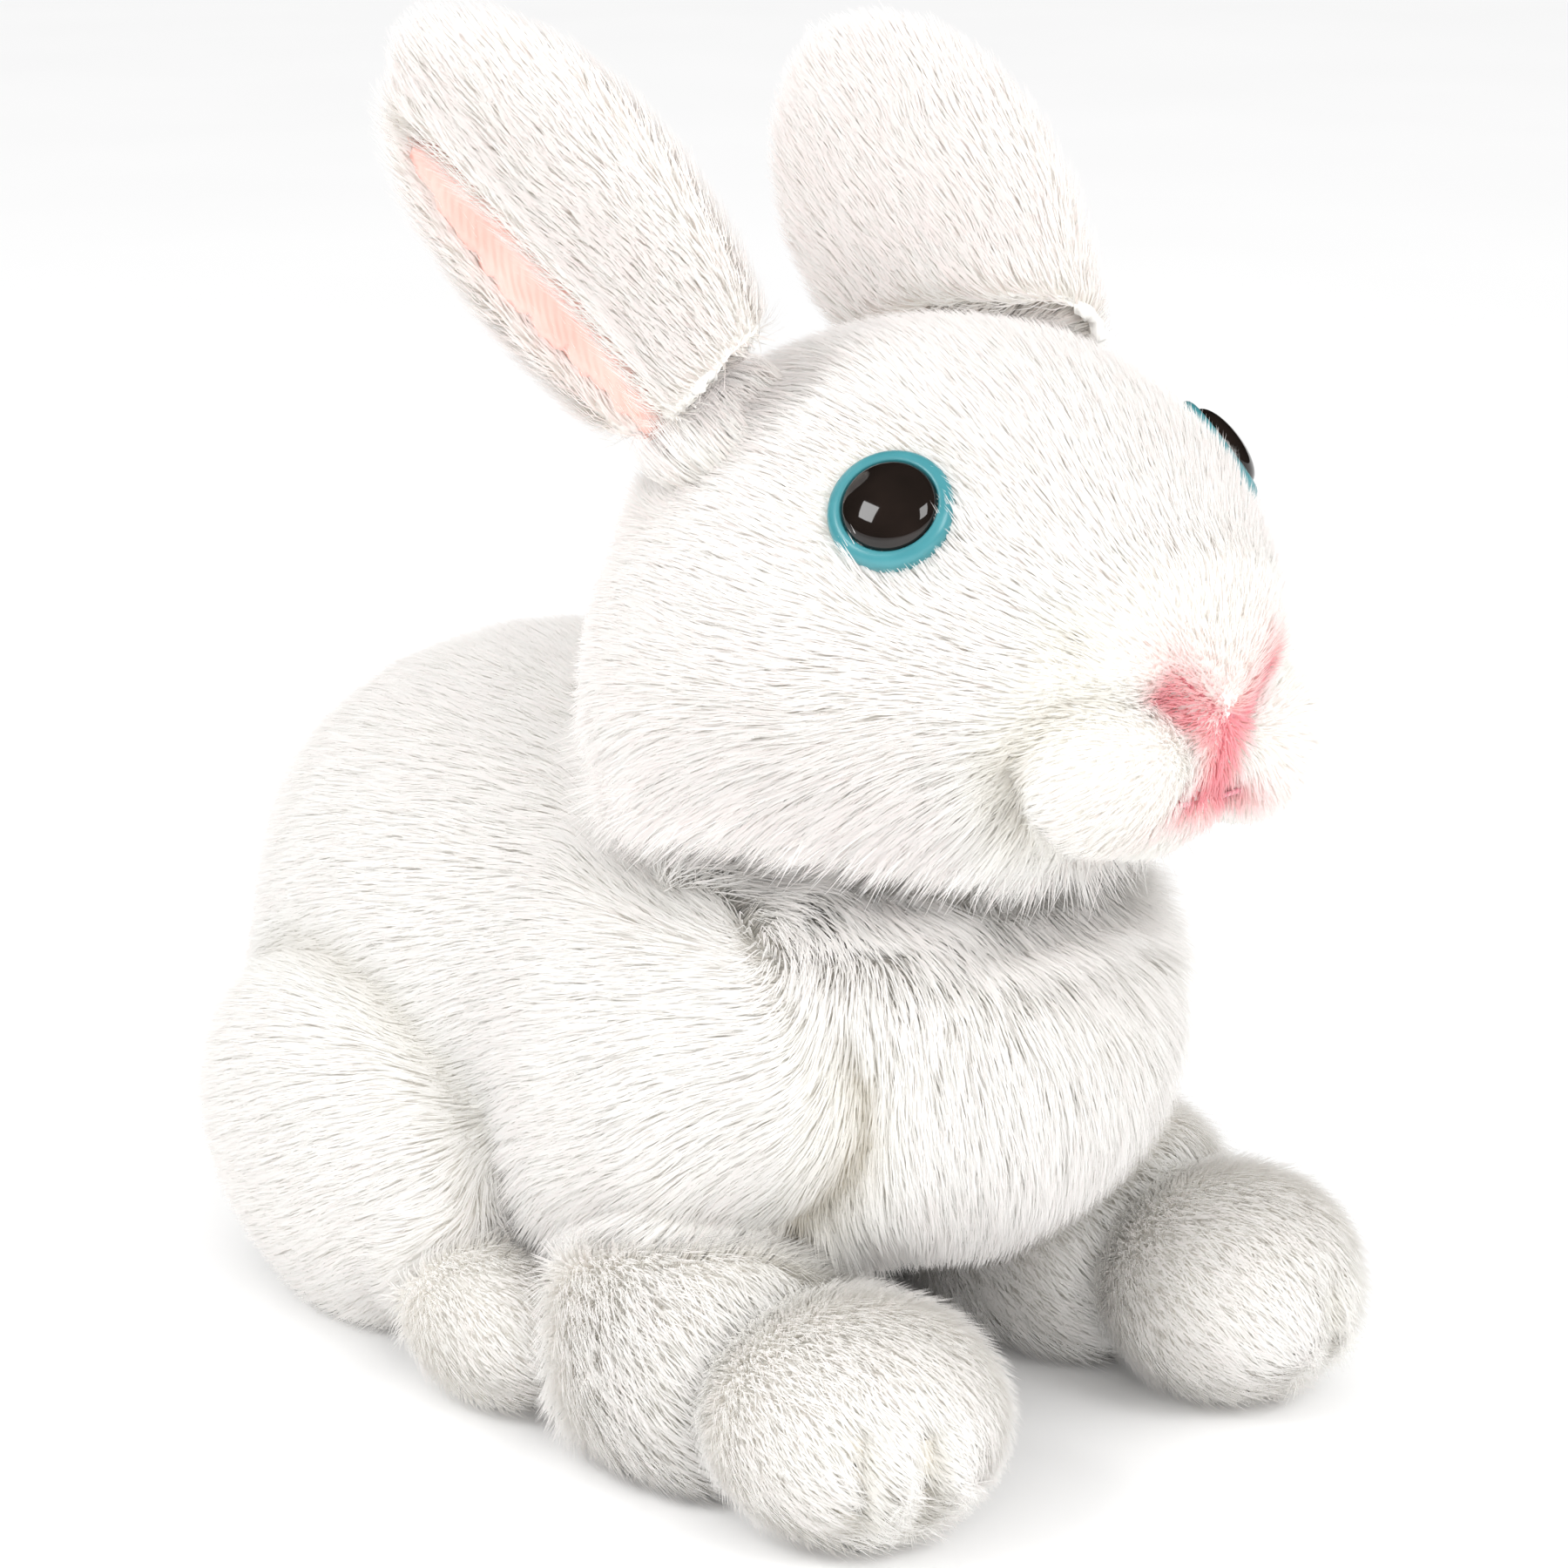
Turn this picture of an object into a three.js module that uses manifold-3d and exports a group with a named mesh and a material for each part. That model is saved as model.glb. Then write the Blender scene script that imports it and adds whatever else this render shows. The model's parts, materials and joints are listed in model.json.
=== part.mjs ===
// A plush rabbit lying on all fours. Millimetres, +Z up, face towards -Y, the rabbit's left is +X.
// Every soft piece is a smooth union of rounded lobes. A cover is that form less a smaller copy of
// itself, and the stuffing is what fits inside it. A limb is cut back from whatever it moves past.
import * as THREE from "three";
import { mergeVertices } from "three/addons/utils/BufferGeometryUtils.js";
import Module from "manifold-3d";

const wasm = await Module();
wasm.setup();

// ---- Driving dimensions ----

const PILE = 6; // pile fabric, backing and fur together
const SEAM = 0.35; // clearance between pieces sewn or set against each other
const SWING = 2; // clearance where one piece turns past another
const BLEND = 2.5; // how softly the lobes of one piece run together
const SIDES = { right: -1, left: 1 };
const FARTHEST = 400; // no surface lies further than this from any form's middle
const COARSE = 0.5; // how finely a hidden surface is faceted, beside a seen one
const HEAD_FACETS = [20, 14]; // around and along, here and on each form below
const BODY_FACETS = [20, 14];
const LIMB_FACETS = [14, 10];
const SMALL_FACETS = [12, 8];
const ROUND = 14; // sides of a turned piece

const BODY_FROM = [0, 26, 50]; // every part of the body can be seen from here
const BODY_MIDDLE = [0, 36, 56];
const BODY_HALF = [48, 68, 42];
const RUMP_MIDDLE = [0, 60, 33];
const RUMP_HALF = [47, 44, 41];
const CHEST_MIDDLE = [0, -23, 56];
const CHEST_HALF = [42, 43, 36];
const SHOULDER_MIDDLE = [28, -12, 48];
const SHOULDER_HALF = [21, 28, 32];

const CHEST_PANEL_HALF_WIDTH = 30;
const CHEST_PANEL_TOP = 82;
const CHEST_PANEL_BOTTOM = 30;
const CHEST_PANEL_BACK = -12;
const PANEL_FRONT = -90; // clear of the chest
const BELLY_PANEL_HALF = [24, 26];
const BELLY_PANEL_MIDDLE = [0, 56];
const BAG_MIDDLE = [0, 58, 20];
const BAG_HALF = [26, 24, 15];

const HEAD_FROM = [0, -42, 112]; // every part of the head can be seen from here
const HEAD_MIDDLE = [0, -33, 114];
const HEAD_HALF = [44, 46, 39];
const SNOUT_MIDDLE = [0, -60, 112];
const SNOUT_HALF = [25, 28, 26];
const CHEEK_MIDDLE = [22, -18, 100];
const CHEEK_HALF = [22, 26, 24];
const PAD_MIDDLE = [11, -74, 103];
const PAD_HALF = [13, 12, 12.5];
const MUZZLE_MIDDLE = [0, -84, 106];
const MUZZLE_HALF = [27, 22, 21];

const NECK_RADIUS = 11;
const NECK_AT = [0, -9]; // the neck's place on the back's upper surface
const NECK_TURN = 15;
const NECK_NOD = 7;

const EYE_FROM_HEAD = [30, -13.5, 23.5]; // from the head's middle towards an eye
const EYE_RADIUS = 8;
const PUPIL_RADIUS = 6;
const EYE_DEPTH = 4; // how deep the back of an eye sits in the pile
const EYE_DOME = 2.2; // how far a pupil stands out of the pile
const IRIS_ROUND = 1;
const PUPIL_THICKNESS = 1.8; // less its dome
const POST_RADIUS = 1.5;
const POST_LENGTH = 9;
const WASHER_RADIUS = 5.5;
const WASHER_THICKNESS = 1.5;

const THREAD_RADIUS = 0.6;
const THREAD_DEPTH = 0.5; // how deep a pulled thread lies in the pile

const EAR_BLADE_HALF = [22, 34, 9];
const EAR_BLADE_MIDDLE = [0, 28, 0];
const EAR_ROOT_HALF = [13, 18, 9];
const EAR_CUP_HALF = [6.5, 32, 9];
const EAR_CUP_MIDDLE = [8, 30, 8.5]; // nearer the ear's rear edge
const EAR_CUP_TILT = 9; // towards the rear edge at the tip
const EAR_LINING = 2;
const EAR_FOLD = 20;
const EAR_FROM_HEAD = [26, 22, 27]; // from the head's middle towards an ear's root
const EAR_REST = {
  right: { lean: 20, spread: 30, twist: -22 },
  left: { lean: 49, spread: 3, twist: 22 },
};

const FOREARM_MIDDLE = [34, -25, 15.5];
const FOREARM_HALF = [18.5, 26, 18.5];
const SHOULDER_JOINT = [30, -16];
const LEG_SWING = 6;
const PAW_MIDDLE = [35, -56, 15.5];
const PAW_HALF = [21, 19, 16.5];
const PAW_TURN_OUT = 25;
const TOE_WIDTH = 11;
const WRIST_DEPTH = 2; // how far past its pile a paw is open at the wrist

const THIGH_MIDDLE = [45, 45, 28];
const THIGH_HALF = [15, 34, 29];
const FOOT_MIDDLE = [48, 7, 12];
const FOOT_HALF = [12, 19, 12.5];
const ANKLE_JOINT = [47, 16];
const FOOT_SWING = 6;

const TAIL_MIDDLE = [0, 111, 38];
const TAIL_HALF = [13, 13, 13];
const TAIL_JOINT = [0, 103];
const TAIL_WAG = 15;

const WHITE = "#f4f2ee";
const PINK = "#f0b4a8";
const ROSE = "#e88a9a";
const TEAL = "#4aa0aa";
const BLACK = "#0a0808";
const STUFFING = "#fbfbf8";
const SACK = "#d8d4c8";
const NYLON = "#e6e6e6";

// ---- Solids ----

function bare(geometry) {
  geometry.deleteAttribute("normal");
  geometry.deleteAttribute("uv");
  return mergeVertices(geometry);
}

function solid(geometry) {
  const closed = bare(geometry.clone());
  return new wasm.Manifold(new wasm.Mesh({
    numProp: 3,
    vertProperties: new Float32Array(closed.attributes.position.array),
    triVerts: new Uint32Array(closed.index.array),
  }));
}

function asGeometry(manifold) {
  const mesh = manifold.getMesh();
  const geometry = new THREE.BufferGeometry();
  geometry.setAttribute("position", new THREE.BufferAttribute(mesh.vertProperties, 3));
  geometry.setIndex(new THREE.BufferAttribute(mesh.triVerts, 1));
  return geometry;
}

function box(low, high) {
  const size = high.map((value, i) => value - low[i]);
  const geometry = new THREE.BoxGeometry(...size);
  return solid(geometry.translate(...high.map((value, i) => (value + low[i]) / 2)));
}

function lathe(profile, frame) {
  const points = profile.map(([radius, height]) => new THREE.Vector2(radius, height));
  return solid(new THREE.LatheGeometry(points, ROUND).applyMatrix4(frame));
}

// ---- Soft forms ----

// Roughly how far a point is outside one ellipsoid.
function outside(point, { at, half }) {
  const scaled = point.map((value, i) => (value - at[i]) / half[i]);
  const nearness = Math.hypot(...scaled);
  const slope = Math.hypot(...scaled.map((value, i) => value / half[i]));
  return slope > 0 ? (nearness * (nearness - 1)) / slope : -Math.min(...half);
}

// Roughly how far a point is outside a form. A swept form takes the nearest of its poses.
function distance(point, { lobes, poses }) {
  const depths = poses.map((pose) => {
    const there = new THREE.Vector3(...point).applyMatrix4(pose).toArray();
    return -Math.log(lobes.reduce((sum, part) => sum + Math.exp(-outside(there, part) / BLEND), 0));
  });
  return BLEND * Math.min(...depths);
}

// The last place between two distances where something stops being true.
function lastInside(isInside, low, high) {
  let [near, far] = [low, high];
  for (let i = 0; i < 30; i += 1) {
    const middle = (near + far) / 2;
    [near, far] = isInside(middle) ? [middle, far] : [near, middle];
  }
  return near;
}

// How far along a ray from a form's middle its surface lies, at a level outside (+) or inside (-) it.
function reach(shape, direction, level) {
  const along = (far) => shape.from.map((value, axis) => value + direction[axis] * far);
  const surface = lastInside((far) => distance(along(far), shape) < level, 0, FARTHEST);
  const floor = direction[2] < 0 ? (shape.stand + level) / -direction[2] : FARTHEST;
  return Math.min(surface, floor);
}

// The closed surface of a form, in the toy's frame.
function skin(shape, level = 0, detail = 1) {
  const facets = shape.facets.map((count) => Math.round(count * detail));
  const geometry = bare(new THREE.SphereGeometry(1, ...facets));
  const position = geometry.attributes.position;
  for (let i = 0; i < position.count; i += 1) {
    const aim = new THREE.Vector3().fromBufferAttribute(position, i);
    aim.multiply(new THREE.Vector3(...shape.lobes[0].half)).normalize();
    const far = reach(shape, aim.toArray(), level);
    position.setXYZ(i, ...shape.from.map((value, axis) => value + aim.getComponent(axis) * far));
  }
  return geometry.applyMatrix4(shape.frame);
}

// A form stands on a flat floor when it is given the floor's depth below its middle.
function form(lobes, facets, options = {}) {
  const still = new THREE.Matrix4();
  const usual = { from: lobes[0].at, stand: FARTHEST, frame: still, poses: [still] };
  return { lobes, facets, ...usual, ...options };
}

function lobe(at, half) {
  return { at, half };
}

function mirrored(side, [x, y, z]) {
  return [side * x, y, z];
}

function bothSides(at, half) {
  return Object.values(SIDES).map((side) => lobe(mirrored(side, at), half));
}

function surfaceAt(shape, towards, level = 0) {
  const aim = new THREE.Vector3(...towards).normalize().toArray();
  const far = reach(shape, aim, level);
  return shape.from.map((value, i) => value + aim[i] * far);
}

function normalAt(shape, point) {
  const slopes = [0, 1, 2].map((axis) => {
    const ahead = point.map((value, i) => value + (i === axis ? 0.1 : 0));
    return distance(ahead, shape) - distance(point, shape);
  });
  return new THREE.Vector3(...slopes).normalize();
}

// The height of a form's upper surface above a place on the floor.
function topAt(shape, [x, y]) {
  return lastInside((height) => distance([x, y, height], shape) < 0, shape.from[2], FARTHEST);
}

// ---- Joints ----

function about(point, axis, degrees) {
  const turn = new THREE.Matrix4().makeRotationAxis(
    new THREE.Vector3(...axis),
    THREE.MathUtils.degToRad(degrees),
  );
  const home = new THREE.Matrix4().makeTranslation(...point);
  return home.clone().multiply(turn).multiply(home.clone().invert());
}

// A neighbour in every place that it takes as seen from a piece that moves past it. The piece's own
// joint is the first move, then the joint that carries it.
function sweptForm(neighbour, moves) {
  const steps = [-1, -0.5, 0, 0.5, 1];
  const poses = moves.reduce((before, joint) => before.flatMap((pose) => steps.map((step) => (
    about(joint.at, joint.axis, step * joint.range).multiply(pose)
  ))), [new THREE.Matrix4()]);
  return { ...neighbour, poses };
}

function path(neighbour, ...moves) {
  return solid(skin(sweptForm(neighbour, moves), SWING));
}

// ---- The pieces' forms ----

const bodyForm = form([
  lobe(BODY_MIDDLE, BODY_HALF),
  lobe(RUMP_MIDDLE, RUMP_HALF),
  lobe(CHEST_MIDDLE, CHEST_HALF),
  ...bothSides(SHOULDER_MIDDLE, SHOULDER_HALF),
], BODY_FACETS, { from: BODY_FROM, stand: BODY_FROM[2] });

const headForm = form([
  lobe(HEAD_MIDDLE, HEAD_HALF),
  lobe(SNOUT_MIDDLE, SNOUT_HALF),
  ...bothSides(CHEEK_MIDDLE, CHEEK_HALF),
  ...bothSides(PAD_MIDDLE, PAD_HALF),
], HEAD_FACETS, { from: HEAD_FROM });

const tailForm = form([lobe(TAIL_MIDDLE, TAIL_HALF)], SMALL_FACETS);

function limbForm(side, at, half, facets) {
  return form([lobe(mirrored(side, at), half)], facets, { stand: at[2] });
}

const thighForm = (side) => limbForm(side, THIGH_MIDDLE, THIGH_HALF, LIMB_FACETS);
const footForm = (side) => limbForm(side, FOOT_MIDDLE, FOOT_HALF, SMALL_FACETS);
const forearmForm = (side) => limbForm(side, FOREARM_MIDDLE, FOREARM_HALF, SMALL_FACETS);

function pawFrame(side) {
  const turn = THREE.MathUtils.degToRad(side * PAW_TURN_OUT);
  return new THREE.Matrix4().makeRotationZ(turn).setPosition(...mirrored(side, PAW_MIDDLE));
}

function pawForm(side) {
  const stand = PAW_MIDDLE[2];
  return form([lobe([0, 0, 0], PAW_HALF)], LIMB_FACETS, { frame: pawFrame(side), stand });
}

const joints = {
  neck_turn: { at: [...NECK_AT, topAt(bodyForm, NECK_AT)], axis: [0, 0, 1], range: NECK_TURN },
  neck_nod: { at: [...NECK_AT, topAt(bodyForm, NECK_AT)], axis: [1, 0, 0], range: NECK_NOD },
  tail_wag: { at: [...TAIL_JOINT, TAIL_MIDDLE[2]], axis: [0, 0, 1], range: TAIL_WAG },
};

for (const [name, side] of Object.entries(SIDES)) {
  joints[`ear_${name}_fold`] = {
    at: surfaceAt(headForm, mirrored(side, EAR_FROM_HEAD)),
    axis: [1, 0, 0],
    range: EAR_FOLD,
  };
  joints[`front_leg_${name}_swing`] = {
    at: mirrored(side, [...SHOULDER_JOINT, FOREARM_MIDDLE[2]]),
    axis: [0, 0, 1],
    range: LEG_SWING,
  };
  joints[`hind_foot_${name}_swing`] = {
    at: mirrored(side, [...ANKLE_JOINT, FOOT_MIDDLE[2]]),
    axis: [0, 0, 1],
    range: FOOT_SWING,
  };
}

// ---- Building ----

const toy = new THREE.Group();

// A cut may leave crumbs, so a piece is the largest of what is left.
function addPiece(name, manifold, color, roughness = 0.9) {
  const [largest] = manifold.decompose().sort((a, b) => b.volume() - a.volume());
  const geometry = asGeometry(largest);
  geometry.computeVertexNormals();
  const material = new THREE.MeshStandardMaterial({ color, roughness, metalness: 0 });
  const mesh = new THREE.Mesh(geometry, material);
  mesh.name = name;
  toy.add(mesh);
}

function addStuffedPiece(name, shape, cuts) {
  const outer = solid(skin(shape));
  const cover = outer.subtract(solid(skin(shape, -PILE, COARSE)));
  const filling = solid(skin(shape, -PILE - SEAM, COARSE));
  addPiece(`${name}_cover`, cuts.reduce((left, cut) => left.subtract(cut), cover), WHITE);
  addPiece(`${name}_filling`, cuts.reduce((left, cut) => left.subtract(cut), filling), STUFFING);
}

function ball(radius, at) {
  return solid(new THREE.SphereGeometry(radius, ...LIMB_FACETS).translate(...at));
}

function bellyDisc(grow) {
  const disc = new THREE.CylinderGeometry(1, 1, 1, 2 * ROUND).rotateX(Math.PI / 2);
  const half = BELLY_PANEL_HALF.map((value) => value + grow);
  disc.scale(...half, PILE + 2 * grow);
  return solid(disc.translate(...BELLY_PANEL_MIDDLE, PILE / 2));
}

function addBody() {
  const outer = solid(skin(bodyForm));
  const inner = solid(skin(bodyForm, -PILE, COARSE));
  const neck = ball(NECK_RADIUS + SEAM, joints.neck_turn.at);
  const front = [-CHEST_PANEL_HALF_WIDTH, PANEL_FRONT, CHEST_PANEL_BOTTOM];
  const back = [CHEST_PANEL_HALF_WIDTH, CHEST_PANEL_BACK, CHEST_PANEL_TOP];
  const panelRoom = box(front.map((value) => value - SEAM), back.map((value) => value + SEAM));
  const shell = outer.subtract(inner).subtract(neck);
  addPiece("body_cover", shell.subtract(panelRoom).subtract(bellyDisc(SEAM)), WHITE);
  addPiece("chest_panel", shell.intersect(box(front, back)), WHITE);
  addPiece("belly_panel", bellyDisc(0).intersect(outer), WHITE);
  const bag = form([lobe(BAG_MIDDLE, BAG_HALF)], SMALL_FACETS);
  const room = solid(skin(bodyForm, -PILE - SEAM, COARSE)).subtract(neck);
  addPiece("body_filling", room.subtract(solid(skin(bag, SEAM))), STUFFING);
  addPiece("pellet_bag", room.intersect(solid(skin(bag))), SACK);
  addPiece("neck_filling", ball(NECK_RADIUS, joints.neck_turn.at), STUFFING);
}

function eyeFrame(side) {
  const point = surfaceAt(headForm, mirrored(side, EYE_FROM_HEAD));
  const normal = normalAt(headForm, point);
  const turn = new THREE.Quaternion().setFromUnitVectors(new THREE.Vector3(0, 1, 0), normal);
  return new THREE.Matrix4().makeRotationFromQuaternion(turn).setPosition(...point);
}

// Heights on an eye's axis, from the surface of the pile.
const PUPIL_SEAT = PUPIL_THICKNESS - EYE_DEPTH;
const PUPIL_EDGE = -0.4;
const POST_END = -EYE_DEPTH - POST_LENGTH;
const WASHER_TOP = -PILE - 1;

function eyePocket(frame) {
  return lathe([
    [0, POST_END - SEAM],
    [POST_RADIUS + SEAM, POST_END - SEAM],
    [POST_RADIUS + SEAM, -EYE_DEPTH - SEAM],
    [EYE_RADIUS + SEAM, -EYE_DEPTH - SEAM],
    [EYE_RADIUS + SEAM, PILE],
    [0, PILE],
  ], frame);
}

function washerPocket(frame) {
  return lathe([
    [0, WASHER_TOP - WASHER_THICKNESS - SEAM],
    [WASHER_RADIUS + SEAM, WASHER_TOP - WASHER_THICKNESS - SEAM],
    [WASHER_RADIUS + SEAM, -PILE + 1],
    [0, -PILE + 1],
  ], frame);
}

function addEye(name, side) {
  const frame = eyeFrame(side);
  addPiece(`eye_${name}_iris`, lathe([
    [0, POST_END],
    [POST_RADIUS, POST_END],
    [POST_RADIUS, -EYE_DEPTH],
    [EYE_RADIUS - IRIS_ROUND, -EYE_DEPTH],
    [EYE_RADIUS, IRIS_ROUND - EYE_DEPTH],
    [EYE_RADIUS, -IRIS_ROUND],
    [PUPIL_RADIUS + SEAM, PUPIL_EDGE],
    [PUPIL_RADIUS + SEAM, PUPIL_SEAT],
    [0, PUPIL_SEAT],
  ], frame), TEAL, 0.35);
  const dome = [1, 0.75, 0.5, 0.25, 0].map((share) => [
    PUPIL_RADIUS * Math.sin((share * Math.PI) / 2),
    PUPIL_EDGE + (EYE_DOME - PUPIL_EDGE) * Math.cos((share * Math.PI) / 2),
  ]);
  const seat = [[0, PUPIL_SEAT + SEAM], [PUPIL_RADIUS, PUPIL_SEAT + SEAM]];
  addPiece(`eye_${name}_pupil`, lathe([...seat, ...dome], frame), BLACK, 0.08);
  addPiece(`eye_${name}_washer`, lathe([
    [POST_RADIUS + SEAM, WASHER_TOP - WASHER_THICKNESS],
    [WASHER_RADIUS, WASHER_TOP - WASHER_THICKNESS],
    [WASHER_RADIUS, WASHER_TOP],
    [POST_RADIUS + SEAM, WASHER_TOP],
    [POST_RADIUS + SEAM, WASHER_TOP - WASHER_THICKNESS],
  ], frame), NYLON, 0.5);
}

// A round thread along points, with its ends closed.
function thread(points, radius) {
  const outline = new THREE.Shape().absarc(0, 0, radius, 0, 2 * Math.PI);
  const curve = new THREE.CatmullRomCurve3(points.map((point) => new THREE.Vector3(...point)));
  return solid(new THREE.ExtrudeGeometry(outline, {
    steps: 2 * (points.length - 1),
    curveSegments: 3,
    bevelEnabled: false,
    extrudePath: curve,
  }));
}

// The rabbit's split upper lip: a Y of pulled thread, with its stem down and a short curl each way.
function mouthThread(radius) {
  const spot = (x, z) => surfaceAt(headForm, [x, -46, z], -THREAD_DEPTH);
  const strokes = [[[0, -3.5], [0, -9], [0, -14]]];
  for (const side of Object.values(SIDES)) {
    strokes.push([[9.5 * side, 2.5], [4 * side, -2], [0, -4.5]]);
    strokes.push([[5 * side, -17], [2.5 * side, -15], [0, -13]]);
  }
  const threads = strokes.map((points) => thread(points.map((point) => spot(...point)), radius));
  return threads.reduce((joined, stroke) => joined.add(stroke));
}

function addHead() {
  const bodyPath = path(bodyForm, joints.neck_nod, joints.neck_turn);
  const neck = ball(NECK_RADIUS + SEAM, joints.neck_turn.at);
  const muzzle = form([lobe(MUZZLE_MIDDLE, MUZZLE_HALF)], LIMB_FACETS);
  const shell = solid(skin(headForm)).subtract(solid(skin(headForm, -PILE, COARSE)));
  let cover = shell.subtract(bodyPath).subtract(neck).subtract(solid(skin(muzzle, SEAM)));
  let filling = solid(skin(headForm, -PILE - SEAM, COARSE)).subtract(bodyPath).subtract(neck);
  for (const side of Object.values(SIDES)) {
    const pocket = eyePocket(eyeFrame(side)).add(washerPocket(eyeFrame(side)));
    cover = cover.subtract(pocket);
    filling = filling.subtract(pocket);
  }
  addPiece("head_cover", cover, WHITE);
  const front = shell.intersect(solid(skin(muzzle))).subtract(bodyPath);
  addPiece("muzzle_cover", front.subtract(mouthThread(THREAD_RADIUS + SEAM)), WHITE);
  addPiece("head_filling", filling, STUFFING);
  addPiece("mouth_thread", mouthThread(THREAD_RADIUS), ROSE);
}

function earFrame(name, side) {
  const { lean, spread, twist } = EAR_REST[name];
  const pose = new THREE.Matrix4().makeRotationY(THREE.MathUtils.degToRad(side * spread));
  pose.multiply(new THREE.Matrix4().makeRotationX(THREE.MathUtils.degToRad(-lean)));
  pose.multiply(new THREE.Matrix4().makeRotationZ(THREE.MathUtils.degToRad(side * twist)));
  const wide = new THREE.Vector3(0, side, 0);
  const long = new THREE.Vector3(0, 0, 1);
  const outward = new THREE.Vector3(side, 0, 0);
  pose.multiply(new THREE.Matrix4().makeBasis(wide, long, outward));
  return pose.setPosition(...joints[`ear_${name}_fold`].at);
}

function addEar(name, side) {
  const frame = earFrame(name, side);
  const lobes = [lobe(EAR_BLADE_MIDDLE, EAR_BLADE_HALF), lobe([0, 0, 0], EAR_ROOT_HALF)];
  const blade = form(lobes, LIMB_FACETS, { frame });
  const cupFrame = frame.clone().multiply(
    new THREE.Matrix4()
      .makeRotationZ(THREE.MathUtils.degToRad(-side * EAR_CUP_TILT))
      .setPosition(...mirrored(side, EAR_CUP_MIDDLE)),
  );
  const cup = form([lobe([0, 0, 0], EAR_CUP_HALF)], LIMB_FACETS, { frame: cupFrame });
  const headPath = path(headForm, joints[`ear_${name}_fold`]);
  const back = solid(skin(blade)).subtract(solid(skin(cup))).subtract(headPath);
  const sheet = solid(skin(cup, -SEAM)).subtract(solid(skin(cup, -SEAM - EAR_LINING)));
  const lining = sheet.intersect(solid(skin(blade, -1))).subtract(headPath);
  addPiece(`ear_${name}_back`, back, WHITE);
  addPiece(`ear_${name}_lining`, lining, PINK);
}

// A thread pulled over the front of a paw, between two toes.
function toeThread(side, across, radius) {
  const shape = pawForm(side);
  const points = [20, 0, -20, -38].map((degrees) => {
    const tilt = THREE.MathUtils.degToRad(degrees);
    const aim = [across / PAW_HALF[1], -Math.cos(tilt), Math.sin(tilt)];
    const spot = surfaceAt(shape, aim, -THREAD_DEPTH);
    return new THREE.Vector3(...spot).applyMatrix4(shape.frame).toArray();
  });
  return thread(points, radius);
}

// Where the stuffing runs on from the forearm into the paw.
function wristOpening(side) {
  const paw = pawForm(side);
  const forearm = new THREE.Vector3(...mirrored(side, FOREARM_MIDDLE));
  const towards = forearm.applyMatrix4(paw.frame.clone().invert()).toArray();
  const wrist = new THREE.Vector3(...surfaceAt(paw, towards)).applyMatrix4(paw.frame);
  return ball(PILE + WRIST_DEPTH, wrist.toArray());
}

function addFrontLeg(name, side) {
  const paw = pawForm(side);
  const swing = joints[`front_leg_${name}_swing`];
  const bodyPath = path(bodyForm, swing);
  const footPath = path(footForm(side), swing, joints[`hind_foot_${name}_swing`]);
  const cuts = [bodyPath, footPath, solid(skin(paw, SEAM))];
  addStuffedPiece(`front_leg_${name}`, forearmForm(side), cuts);
  let cover = solid(skin(paw)).subtract(solid(skin(paw, -PILE, COARSE)));
  cover = cover.subtract(wristOpening(side)).subtract(bodyPath);
  const toes = { inner: -side * TOE_WIDTH / 2, outer: side * TOE_WIDTH / 2 };
  for (const [toe, across] of Object.entries(toes)) {
    cover = cover.subtract(toeThread(side, across, THREAD_RADIUS + SEAM));
    addPiece(`toe_thread_${name}_${toe}`, toeThread(side, across, THREAD_RADIUS), WHITE);
  }
  addPiece(`front_paw_${name}_cover`, cover, WHITE);
  addPiece(`front_paw_${name}_filling`, solid(skin(paw, -PILE - SEAM, COARSE)), STUFFING);
}

function addHindLeg(name, side) {
  const thigh = thighForm(side);
  addStuffedPiece(`thigh_${name}`, thigh, [solid(skin(bodyForm, SEAM))]);
  const joint = joints[`hind_foot_${name}_swing`];
  const cuts = [path(bodyForm, joint), path(thigh, joint)];
  addStuffedPiece(`hind_foot_${name}`, footForm(side), cuts);
}

addBody();
addHead();
addStuffedPiece("tail", tailForm, [path(bodyForm, joints.tail_wag)]);
for (const [name, side] of Object.entries(SIDES)) {
  addEye(name, side);
  addEar(name, side);
  addFrontLeg(name, side);
  addHindLeg(name, side);
}

// The origin is the middle of the toy's footprint.
const bounds = new THREE.Box3().setFromObject(toy);
const middle = bounds.getCenter(new THREE.Vector3());
const shift = new THREE.Vector3(-middle.x, -middle.y, -bounds.min.z);
toy.position.copy(shift);
toy.userData.joints = Object.fromEntries(Object.entries(joints).map(([name, joint]) => {
  const at = new THREE.Vector3(...joint.at).add(shift);
  return [name, { ...joint, at: at.toArray() }];
}));

export default toy;
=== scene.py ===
# %% [markdown]
# # A plush rabbit, from its frame to its fur
#
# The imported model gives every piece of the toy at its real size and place: the covers, the stuffing,
# the eyes and the threads. This file gives those pieces their looks. It cuts a cloth skin for each
# cover, sews in the creases, grows the pile on it strand by strand, and then does the eyes.
# Nothing here moves a piece of the frame. All sizes are in metres.

# %% Load the frame
import json
import math

import bmesh
import bpy
import numpy as np
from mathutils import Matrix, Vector
from mathutils.bvhtree import BVHTree
from mathutils.kdtree import KDTree

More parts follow.
